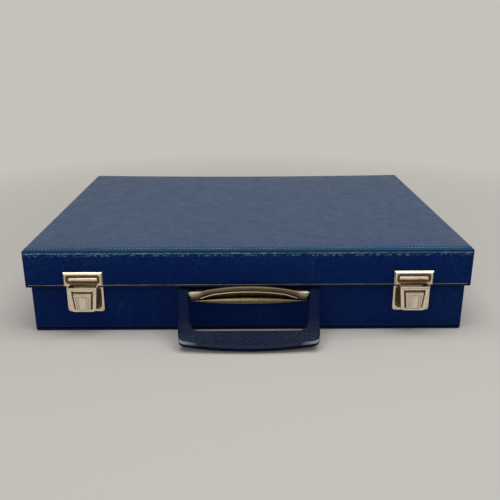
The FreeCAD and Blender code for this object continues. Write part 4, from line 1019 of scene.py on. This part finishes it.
class FLEET_CASE_OT_bracket(bpy.types.Operator):
    """Nickelled bracket of the handle: plate, hood, arched brow with a rib below it, and a pointed spindle."""
    bl_idname = "fleet_case.bracket"
    bl_label = "Handle bracket"

    def execute(self, context):
        metal = context.scene.fleet_metal
        axis = centre("handle_pivot_pins")
        axis[X] = 0
        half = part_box("handle_bracket")[1][X]
        cuts = [step * half / 20 for step in range(-19, 20)]
        brow = add_rod("handle_bracket_pressing", axis, BROW_RADIUS, 2 * half, X, 28)
        bevel(brow, across(X), 0.4 * MM, 2)
        slice_at(brow, X, cuts)

        def raise_brow(spot):
            x, grow = spot[X], 1 + swell(spot[X]) / BROW_RADIUS
            return scaled(spot, axis, (1, grow, grow)) + Vector((0, 0, arch(x) - swell(x)))

        move(brow, raise_brow)
        rib = add_rod("handle_bracket_rib", axis, 0.6 * MM, 86 * MM, X, 12)
        slice_at(rib, X, cuts[4:-4])

        def follow(spot):
            x, girth = spot[X], BROW_RADIUS + swell(spot[X])
            return spot + Vector((0, -0.6 * girth, arch(x) - swell(x) - 0.8 * girth))

        move(rib, follow)
        hood = add_box("hood", (-half, axis[Y], axis[Z] - 2.0 * MM), (half, BASE_FACE, axis[Z] - 0.8 * MM))
        slice_at(hood, X, cuts)
        move(hood, lambda spot: spot + Vector((0, 0, arch(spot[X]))))
        prongs = [bent_prong(sign * 30 * MM, axis[Z] - 2 * MM, BASE_FACE - 0.6 * MM, BASE_FACE + WALL + MM)
                  for sign in SIGNS]
        finish_piece(join(brow, hood, *prongs), "base", antique_nickel(metal), ["handle_bracket"], 40)
        finish_piece(rib, "base", nickel(metal))
        finish_piece(self.spindle(axis, half - 0.7 * MM), "base", worn_brass(metal), angle=40)
        reach = 48 * MM
        # The plate behind the brow takes the dark tarnished finish, partly as painted shade.
        plate = bar((-reach, BASE_FACE - 1.2 * MM, axis[Z] - 11 * MM), (reach, BASE_FACE, axis[Z] + 1.2 * MM), 0.3 * MM)
        finish_piece(named(plate, "handle_bracket_plate"), "base", tarnished_and_shaded(metal))
        dress_nodes(plain_steel(metal), "handle_pivot_pins", "handle_backing_strip")
        return {"FINISHED"}

    def spindle(self, axis, tip):
        """Round bar below the brow, drawn out to a point at both ends."""
        core = axis + Vector((0, 4.0, -7.9)) * MM
        spindle = add_rod("handle_bracket_spindle", core, 3.9 * MM, 2 * tip, X, 24)
        slice_at(spindle, X, [step * tip / 16 for step in range(-15, 16)])

        def point(spot):
            thin = max(1 - (abs(spot[X]) / tip) ** 2.1, 0.1)
            return scaled(spot, core, (1, thin, thin)) - Vector((0, 0, 1.1 * MM * (1 - thin)))

        move(spindle, point)
        return spindle


class FLEET_CASE_OT_handle(bpy.types.Operator):
    """Moulded handle loop, modelled hanging from its pivot and then leant forward."""
    bl_idname = "fleet_case.handle"
    bl_label = "Handle"

    def execute(self, context):
        look = context.scene.fleet_handle
        foot, bar_top, outer, inner, thick = mm(-52.7, -36, 63.5, 54, 4.5)
        taper_inside, taper_outside, sag, sag_reach = mm(3.5, 3.0, 4.8, 60.5)
        lean = math.radians(-45.2)
        loop = add_box("handle_grip", (-outer, -thick, foot), (outer, thick, 0))
        slice_at(loop, X, [-inner, inner])
        slice_at(loop, Z, [bar_top])
        drop_faces(loop, lambda face: abs(middle(face)[X]) < inner and middle(face)[Z] > bar_top + 0.1 * MM)
        edit(loop, "EDGE", lambda edge: edge.is_boundary and not runs_along(edge, Y))
        bpy.ops.mesh.bridge_edge_loops()
        leave()
        outward(loop)
        for x, z, radius in ((inner, bar_top, 8 * MM), (outer, foot, 4.2 * MM)):
            bevel(loop, lambda edge: along(Y, {Z: z})(edge) and near(abs(middle(edge)[X]), x), radius, CORNER_STEPS)
        slice_at(loop, X, [step * 8 * MM for step in range(-5, 6)])

        def shape(spot):
            """Draw the arms in towards the bar and sag the bar's lower edge."""
            x, z = spot[X], spot[Z]
            inside = abs(x) <= inner + 0.01 * MM and z >= bar_top - 0.01 * MM
            if inside:
                run = taper_inside * min(z / bar_top, 1) * abs(x) / inner
            else:
                run = taper_outside * z / foot * abs(x) / outer
            rise = sag * (x / sag_reach) ** 2 * held((bar_top - z) / (bar_top - foot))
            return Vector((x - math.copysign(run, x), spot[Y], z + rise))

        move(loop, shape)
        self.round_rim(loop, look)
        knuckles = []
        for sign in SIGNS:
            knuckle = add_rod("knuckle", (sign * (outer + inner) / 2, 0, 0), thick, outer - inner, X, 28)
            bevel(knuckle, across(X), 0.9 * MM, 3)
            knuckles.append(knuckle)
        join(loop, *knuckles)
        axis = centre("handle_pivot_pins")
        loop.location = (0, axis[Y], axis[Z])
        loop.rotation_euler = (lean, 0, 0)
        finish_piece(loop, "handle", moulding(look), ["handle_loop"], 40)
        return {"FINISHED"}

    def round_rim(self, loop, look):
        """Round every edge of the faces by the rim's radius, growing to the belly's under the front of the bar."""
        mesh = bmesh.new()
        mesh.from_mesh(loop.data)
        mesh.normal_update()
        weight = mesh.edges.layers.float.new("bevel_weight_edge")
        for edge in mesh.edges:
            if runs_along(edge, Y) or not sharp(edge, 1.2) or middle(edge)[Z] > -0.1 * MM:
                continue
            in_front = any(face.normal[Y] < -0.9 for face in edge.link_faces)
            down = max(-face.normal[Z] for face in edge.link_faces)
            share = held((down - 0.3) / 0.6) if in_front else 0
            edge[weight] = (look.rim + share * (look.belly - look.rim)) / look.belly
        mesh.to_mesh(loop.data)
        mesh.free()
        modify(loop, "BEVEL", width=look.belly, segments=5, limit_method="WEIGHT", use_clamp_overlap=False)


class FLEET_CASE_OT_hinges(bpy.types.Operator):
    """Butt hinges on the back with rolled knuckles and domed rivets, and the lid stays."""
    bl_idname = "fleet_case.hinges"
    bl_label = "Hinges and stays"
    half, roll = mm(20, 2.45)
    knuckle_spans = {"base": ((-20, -9), (9, 20)), "lid": ((-8.6, 8.6),)}

    def execute(self, context):
        metal = context.scene.fleet_metal
        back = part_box("base_wall_cover")[1][Y]
        low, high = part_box("hinge_pins")
        axis = (low + high) / 2
        places = (low[X] + self.half, high[X] - self.half)
        for body, sign in (("base", -1), ("lid", 1)):
            leaves = join(*[self.leaf(x, back, axis, sign, self.knuckle_spans[body]) for x in places])
            finish_piece(named(leaves, f"{body}_hinge_plates"), body, nickel(metal), [f"hinge_{body}_leaves"])
            spots = [(x + half * 13 * MM, axis[Z] + sign * 10 * MM) for x in places for half in SIGNS]
            heads = rivet_heads(f"{body}_hinge_rivet_heads", spots, back + LEAF, WALL + LEAF, 1)
            finish_piece(heads, body, nickel(metal), [f"hinge_{body}_rivets"])
        dress_nodes(plain_steel(metal), "hinge_pins", "lid_stay_left", "lid_stay_right", "stay_guide_left",
                    "stay_guide_right")
        return {"FINISHED"}

    def leaf(self, x, back, axis, sign, spans):
        """Plate with two rounded corners, and a web to each of its rolled knuckles."""
        edge_z, far = axis[Z] + sign * 3 * MM, axis[Z] + sign * 16 * MM
        low_z, high_z = sorted((edge_z, far))
        plate = add_box("leaf", (x - self.half, back, low_z), (x + self.half, back + LEAF, high_z))
        bevel(plate, along(Y, {Z: far}), 3 * MM, 5)
        bevel(plate, level(Y, back + LEAF), 0.35 * MM, 2)
        rolls = []
        for start, end in spans:
            place = (x + (start + end) / 2 * MM, axis[Y], axis[Z])
            knuckle = add_rod("knuckle", place, self.roll, (end - start) * MM, X, 28)
            bevel(knuckle, across(X), 0.25 * MM, 2)
            low_z, high_z = sorted((axis[Z], axis[Z] + sign * 3.2 * MM))
            rolls += [knuckle, add_box("web", (x + start * MM, back + 0.15 * MM, low_z),
                                       (x + end * MM, back + LEAF, high_z))]
        return join(plate, *rolls)


# Game: boards, ships, pegs and linings

GRID = 10
PITCH = 24 * MM
FIELD = GRID * PITCH
HOLE = 2 * MM
CELL_DEPTH = 2.2 * MM
FLEET = {"carrier": 5, "battleship": 4, "cruiser": 3, "submarine": 3, "patrol_boat": 2}
HULL_HEIGHT = 6 * MM
STEM = 6.2 * MM


class FLEET_CASE_OT_boards(bpy.types.Operator):
    """Moulded peg boards with a grid of round holes and printed coordinates."""
    bl_idname = "fleet_case.boards"
    bl_label = "Peg boards"

    def execute(self, context):
        look = context.scene.fleet_game
        low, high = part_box("ocean_board")
        corner = Vector((low[X] + 9 * MM, -FIELD / 2, high[Z]))
        ocean = self.board("ocean_peg_board", low, high, corner, [])
        words = self.coordinates("ocean_coordinates", corner, 7 * MM, 4.6 * MM)
        self.finish(look, ocean, words, "base", "ocean_board")

        low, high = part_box("target_board")  # made facing up, and turned over into the lid
        hub = (low + high) / 2
        notch = 2 * hub[Y] - centre("lid_stay_left")[Y]
        wide, deep = mm(9, 17)
        notches = [((x - wide, notch - deep), (x + wide, notch + deep)) for x in (low[X], high[X])]
        corner = Vector((-FIELD / 2, 2 * hub[Y] - FIELD / 2, high[Z]))
        target = self.board("target_peg_board", low, high, corner, notches)
        words = self.coordinates("target_coordinates", corner, 12 * MM, 11 * MM)
        for piece in (target, words):
            piece.location = (0, 2 * hub[Y], 2 * hub[Z])
            piece.rotation_euler = (math.pi, 0, 0)
        self.finish(look, target, words, "lid", "target_board")
        return {"FINISHED"}

    def finish(self, look, board, words, body, node):
        finish_piece(board, body, plastic("board_plastic", look.board), [node])
        finish_piece(words, body, plastic("lettering_paint", look.lettering, 0.5))

    def board(self, name, low, high, corner, notches):
        """Board that faces up, with the grid's cells let into it from its near left corner on."""
        slab = add_box(name, low, high)
        bevel(slab, level(Z, high[Z]), 0.4 * MM, 2)
        for near_corner, far_corner in notches:
            cut_away(slab, add_box("cutter", (*near_corner, low[Z] - MM), (*far_corner, high[Z] + MM)))
        cut_away(slab, add_box("cutter", corner - Vector((0, 0, CELL_DEPTH)), corner + Vector((FIELD, FIELD, MM))))
        return join(slab, self.cells(corner + Vector((PITCH / 2, PITCH / 2, 0))))

    def cells(self, spot):
        """Square pads with a round hole in the middle and sloping edges that meet in grooves."""
        groove, pad = 0.4 * MM, 0.965
        clear_selection()
        bpy.ops.mesh.primitive_circle_add(vertices=16, radius=PITCH / 2, location=spot - Vector((0, 0, groove)))
        pads = settle("cells")
        edit(pads, "EDGE")
        for size, rise in ((pad, groove), (2 * HOLE / (pad * PITCH), 0), (1, -CELL_DEPTH)):
            extrude((0, 0, rise))
            bpy.ops.transform.resize(value=(size, size, 1), center_override=spot)
        leave()

        def square(place):
            out = place - spot
            reach = max(abs(out[X]), abs(out[Y]))
            if reach < PITCH / 4:
                return place
            grow = math.hypot(out[X], out[Y]) / reach
            return scaled(place, spot, (grow, grow, 1))

        move(pads, square)
        for step in ((PITCH, 0, 0), (0, PITCH, 0)):
            repeat(pads, GRID, step, use_merge_vertices=True, merge_threshold=0.02 * MM)
        outward(pads)
        # an open sheet may have come out face down
        if sum(face.normal[Z] * face.area for face in pads.data.polygons) < 0:
            edit(pads, "FACE")
            bpy.ops.mesh.flip_normals()
            leave()
        return pads

    def coordinates(self, name, corner, size, gap):
        """Letters down the left of the grid from its far row and numbers along its far side."""
        words = []
        for step in range(GRID):
            along_grid = (step + 0.5) * PITCH
            for text, x, y in ((chr(ord("A") + step), -gap, FIELD - along_grid),
                               (str(step + 1), along_grid, FIELD + size)):
                words.append(self.word(text, corner + Vector((x, y, 0)), size))
        return named(join(*words), name)

    def word(self, text, place, size):
        clear_selection()
        bpy.ops.object.text_add(location=place)
        word = bpy.context.object
        word.data.body = text
        word.data.size = size
        word.data.resolution_u = 3
        word.data.extrude = 0.05 * MM
        word.data.align_x = word.data.align_y = "CENTER"
        bpy.ops.object.convert(target="MESH")
        return settle("word")


class FLEET_CASE_OT_ships(bpy.types.Operator):
    """Fleet of five moulded ships with shaped hulls, deckhouses, turrets, funnels and peg sockets."""
    bl_idname = "fleet_case.ships"
    bl_label = "Ships"

    def execute(self, context):
        grey = plastic("ship_plastic", context.scene.fleet_game.ship, 0.42)
        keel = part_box("ocean_board")[1][Z]
        for name, cells in FLEET.items():
            node = f"ship_{name}"
            low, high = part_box(node)
            y = (low[Y] + high[Y]) / 2
            first = low[X] + (high[X] - low[X] - (cells - 1) * PITCH) / 2
            ship = (self.long_hull if name == "submarine" else self.hull)(low, high, keel, y)
            for cell in range(cells):
                socket = (first + cell * PITCH, y, keel + HULL_HEIGHT)
                cut_away(ship, add_rod("cutter", socket, HOLE, 6 * MM, Z, 16))
            stems = [add_rod("stem", (first + cell * PITCH, y, keel + 0.2 * MM - STEM / 2), 1.65 * MM, STEM, Z, 12)
                     for cell in (0, cells - 1)]
            gaps = [first + (gap + 0.5) * PITCH for gap in range(cells - 1)]
            join(ship, *stems, *self.fit_out(name, gaps, y, keel + HULL_HEIGHT))
            finish_piece(named(ship, f"{name}_model"), "base", grey, [node])
        return {"FINISHED"}

    def stations(self, hull, low, high, stern, bow):
        """Cut a hull across where its ends are shaped, at so many millimetres from each."""
        slice_at(hull, X, [low[X] + step * MM for step in stern] + [high[X] - step * MM for step in bow])

    def hull(self, low, high, keel, y):
        """Flared hull with a rounded stern, a pointed bow and a bulwark round the deck."""
        hull = add_box("hull", (low[X], low[Y], keel), (high[X], high[Y], keel + HULL_HEIGHT))
        self.stations(hull, low, high, (0.6, 1.6, 3.2, 5), (20, 16, 12, 8.5, 5.5, 3, 1.2))
        inset(hull, lambda face: face.normal[Z] > 0.9, (0.8 * MM, -0.7 * MM))

        def fair(spot):
            stern, bow = held((spot[X] - low[X]) / (5 * MM)), held((high[X] - spot[X]) / (20 * MM))
            beam = min(0.7 + 0.3 * math.sqrt(stern), bow ** 0.62 + 0.03, 1)
            flare = 0.8 + 0.2 * min((spot[Z] - keel) / HULL_HEIGHT, 1)
            return scaled(spot, (0, y, 0), (1, beam * flare, 1))

        move(hull, fair)
        return hull

    def long_hull(self, low, high, keel, y):
        """Round hull with a flat deck and keel, drawn in at both ends."""
        half, core = HULL_HEIGHT / 2, keel + HULL_HEIGHT / 2
        hull = add_rod("hull", ((low[X] + high[X]) / 2, y, core), (high[Y] - low[Y]) / 2, high[X] - low[X], X, 24)
        self.stations(hull, low, high, (0.5, 1.5, 3, 5, 8, 12), (0.5, 1.5, 3, 6, 10, 15))

        def fair(spot):
            stern, bow = (spot[X] - low[X]) / (12 * MM), (high[X] - spot[X]) / (15 * MM)
            beam = held(min(stern, bow)) ** 0.5 * 0.97 + 0.03
            return Vector((spot[X], y + (spot[Y] - y) * beam,
                           core + held(spot[Z] - core, -half, half) * (0.5 + 0.5 * beam)))

        move(hull, fair)
        return hull

    def fit_out(self, name, gaps, y, deck):
        """What stands on the deck between the sockets."""
        if name == "submarine":
            return [self.house(gaps[0], y, deck, 10, 4.2, 6.5),
                    self.funnel(gaps[0] + 1.5 * MM, y, deck + 6 * MM, 0.7, 1.4),
                    self.house(gaps[1], y, deck, 9, 2.2, 1.2)]
        if name == "carrier":
            aside = y - 3.9 * MM
            return [self.house(gaps[2], aside, deck, 12, 2.6, 5.5),
                    self.funnel(gaps[2] - 2 * MM, aside, deck + 5 * MM, 1.1, 2),
                    *[self.house(x, y, deck - 0.8 * MM, 11, 6.5, 1.0) for x in gaps]]
        pieces = []
        for number, x in enumerate(gaps):
            if number == (len(gaps) - 1) // 2:
                roof = deck + 3.2 * MM
                pieces += [self.house(x, y, deck, 11, 6.4, 3.5), self.house(x + 2 * MM, y, roof, 4.5, 4.4, 2.4),
                           self.funnel(x - 2.6 * MM, y, roof, 1.5, 3.6)]
            else:
                pieces += self.turret(x, y, deck, 1 if number else -1)
        return pieces

    def house(self, x, y, deck, length, width, height):
        sunk = 0.9
        low = Vector((x, y, deck)) - Vector((length / 2, width / 2, sunk)) * MM
        return bar(low, low + Vector((length, width, height + sunk)) * MM, 0.5 * MM)

    def funnel(self, x, y, foot, radius, height):
        funnel = add_rod("funnel", (x, y, foot + height / 2 * MM), radius * MM, height * MM, Z, 14)
        bevel(funnel, lambda edge: all(vert.co[Z] > foot + 0.9 * height * MM for vert in edge.verts), 0.2 * MM, 1)
        return funnel

    def turret(self, x, y, deck, ahead):
        drum = add_rod("drum", (x, y, deck + 0.2 * MM), 3.1 * MM, 2.2 * MM, Z, 18)
        hood = self.house(x - ahead * 0.6 * MM, y, deck + 1.2 * MM, 5.2, 4.6, 2.0)
        muzzle = Vector((x + ahead * 4.2 * MM, y, deck + 2.2 * MM))
        return [drum, hood, *[add_rod("barrel", muzzle + Vector((0, side * 1.2 * MM, 0)), 0.5 * MM, 5.4 * MM, X, 10)
                              for side in SIGNS]]


class FLEET_CASE_OT_pegs(bpy.types.Operator):
    """Marker pegs in rows in their bays, each a round head with a tapered shank, and the bays' linings."""
    bl_idname = "fleet_case.pegs"
    bl_label = "Pegs and linings"

    def execute(self, context):
        look = context.scene.fleet_game
        for node, slot, base, rows in (("white_pegs", "peg_white", look.white, 4),
                                       ("red_pegs", "peg_red", look.red, 2)):
            finish_piece(self.rows(node, rows), "base", plastic(f"{slot}_plastic", base, 0.3), [node])
        dress_nodes(wood(look), "bay_divider_long", "bay_divider_cross", "ocean_board_cleats", "target_board_blocks")
        dress_nodes(greyboard(look), "base_wall_frame", "lid_wall_frame")
        return {"FINISHED"}

    def rows(self, node, rows):
        low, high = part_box(node)
        columns = 4
        spacing, head_height, shank_length = mm(9, 3, 9.2)
        x = (low[X] + high[X] - (columns - 1) * spacing) / 2
        y = (low[Y] + high[Y] - (rows - 1) * spacing) / 2
        head = add_rod(f"{node}_set", (x, y, low[Z] + head_height / 2), 2.8 * MM, head_height, Z, 12)
        bevel(head, across(Z), 0.5 * MM, 1)
        shank = add_rod("shank", (x, y, high[Z] - shank_length / 2), 1.7 * MM, shank_length, Z, 12)
        bevel(shank, level(Z, high[Z]), 0.6 * MM, 1)

        def taper(spot):
            thin = 0.88 if spot[Z] > high[Z] - MM else 1
            return scaled(spot, (x, y, 0), (thin, thin, 1))

        move(shank, taper)
        join(head, shank)
        repeat(head, columns, (spacing, 0, 0))
        repeat(head, rows, (0, spacing, 0))
        return head


# Stage

class FLEET_CASE_OT_stage(bpy.types.Operator):
    """Pale floor with a curved backdrop, soft lamps and the camera."""
    bl_idname = "fleet_case.stage"
    bl_label = "Stage"
    lamps = (("overhead_softbox", (0.16, -0.3, 1.25), (0, 0, 0), (1.4, 0.9), 11.0),
             ("front_softbox", (-0.5, -1.7, 0.9), (62, 0, -16), (1.2, 0.8), 3.0))
    camera_place, camera_turn = (-0.0035, -0.6758, 0.2585), (70.95, 0.07, -0.54)

    def execute(self, context):
        look = context.scene.fleet_stage
        side, front, back, rise, curve = 4, -3, 1.5, 3, 0.7
        floor = add_box("studio_floor", (-side, front, -0.5), (side, back, 0))
        drop_faces(floor, lambda face: face.normal[Z] < 0.9)
        edit(floor, "EDGE", along(X, {Y: back}))
        extrude((0, 0, rise))
        leave()
        bevel(floor, along(X, {Y: back, Z: 0}), curve, 12)
        floor.data.materials.append(self.paper(look))
        take(floor)
        bpy.ops.object.shade_smooth_by_angle(angle=math.radians(40))
        self.light(context, look)
        self.camera(context, look)
        return {"FINISHED"}

    def paper(self, look):
        """Matt paper that shows its own colour evenly, away from the object, to the camera and to mirrors."""
        def paint(on):
            away = on.node("VectorMath", Vector=on.coordinates())
            away.operation = "LENGTH"
            share = on.times(on.looked_at(), on.span(away.outputs["Value"], 0.3, 0.75))
            glow = on.node("Emission", Color=(*look.floor, 1), Strength=1.0)
            on.mix_surfaces(share, on.tree.nodes["Principled BSDF"], glow, "Material Output")

        return made("studio_floor", look.floor, 0.9, paint, specular=0.05)

    def light(self, context, look):
        for name, place, turn, size, power in self.lamps:
            clear_selection()
            bpy.ops.object.light_add(type="AREA", location=place, rotation=[math.radians(angle) for angle in turn])
            lamp = context.object
            lamp.name = name
            lamp.data.shape = "RECTANGLE"
            lamp.data.size, lamp.data.size_y = size
            lamp.data.energy = power
        world = bpy.data.worlds.new("studio_light")
        context.scene.world = world
        world.use_nodes = True
        on = Painter(world.node_tree)
        sky = on.fill(on.tree.nodes["Background"], Color=(0.97, 0.98, 1.0, 1), Strength=0.45)
        seen = on.node("Background", Color=(*look.floor, 1), Strength=1.0)
        on.mix_surfaces(on.looked_at(), sky, seen, "World Output")

    def camera(self, context, look):
        clear_selection()
        bpy.ops.object.camera_add(location=self.camera_place,
                                  rotation=[math.radians(angle) for angle in self.camera_turn])
        camera = context.object
        camera.name = "camera"
        camera.data.lens = look.lens
        camera.data.sensor_width = 36
        context.scene.camera = camera
        context.scene.view_settings.view_transform = "Standard"


class FLEET_CASE_PT_panel(bpy.types.Panel):
    """Buttons and settings for the case's pieces."""
    bl_idname = "FLEET_CASE_PT_panel"
    bl_label = "Fleet case"
    bl_space_type = "VIEW_3D"
    bl_region_type = "UI"
    bl_category = "Fleet case"

    def draw(self, context):
        for piece in PIECES:
            self.layout.operator(piece.bl_idname)
        for name, look in LOOKS.items():
            self.layout.label(text=look.__doc__)
            for setting in look.__annotations__:
                self.layout.prop(getattr(context.scene, name), setting)


LOOKS = {"fleet_cloth": ClothLook, "fleet_metal": MetalLook, "fleet_handle": HandleLook, "fleet_game": GameLook,
         "fleet_stage": StageLook}
PIECES = (FLEET_CASE_OT_stage, FLEET_CASE_OT_lid, FLEET_CASE_OT_base, FLEET_CASE_OT_latches, FLEET_CASE_OT_bracket,
          FLEET_CASE_OT_handle, FLEET_CASE_OT_hinges, FLEET_CASE_OT_boards, FLEET_CASE_OT_ships, FLEET_CASE_OT_pegs)


def register():
    for item in (*LOOKS.values(), *PIECES, FLEET_CASE_PT_panel):
        bpy.utils.register_class(item)
    for name, look in LOOKS.items():
        setattr(bpy.types.Scene, name, bpy.props.PointerProperty(type=look))


def unregister():
    for name in LOOKS:
        delattr(bpy.types.Scene, name)
    for item in (FLEET_CASE_PT_panel, *reversed(PIECES), *reversed(LOOKS.values())):
        bpy.utils.unregister_class(item)


def main():
    register()
    for piece in PIECES:
        group, name = piece.bl_idname.split(".")
        getattr(getattr(bpy.ops, group), name)()


if __name__ == "__main__":
    main()
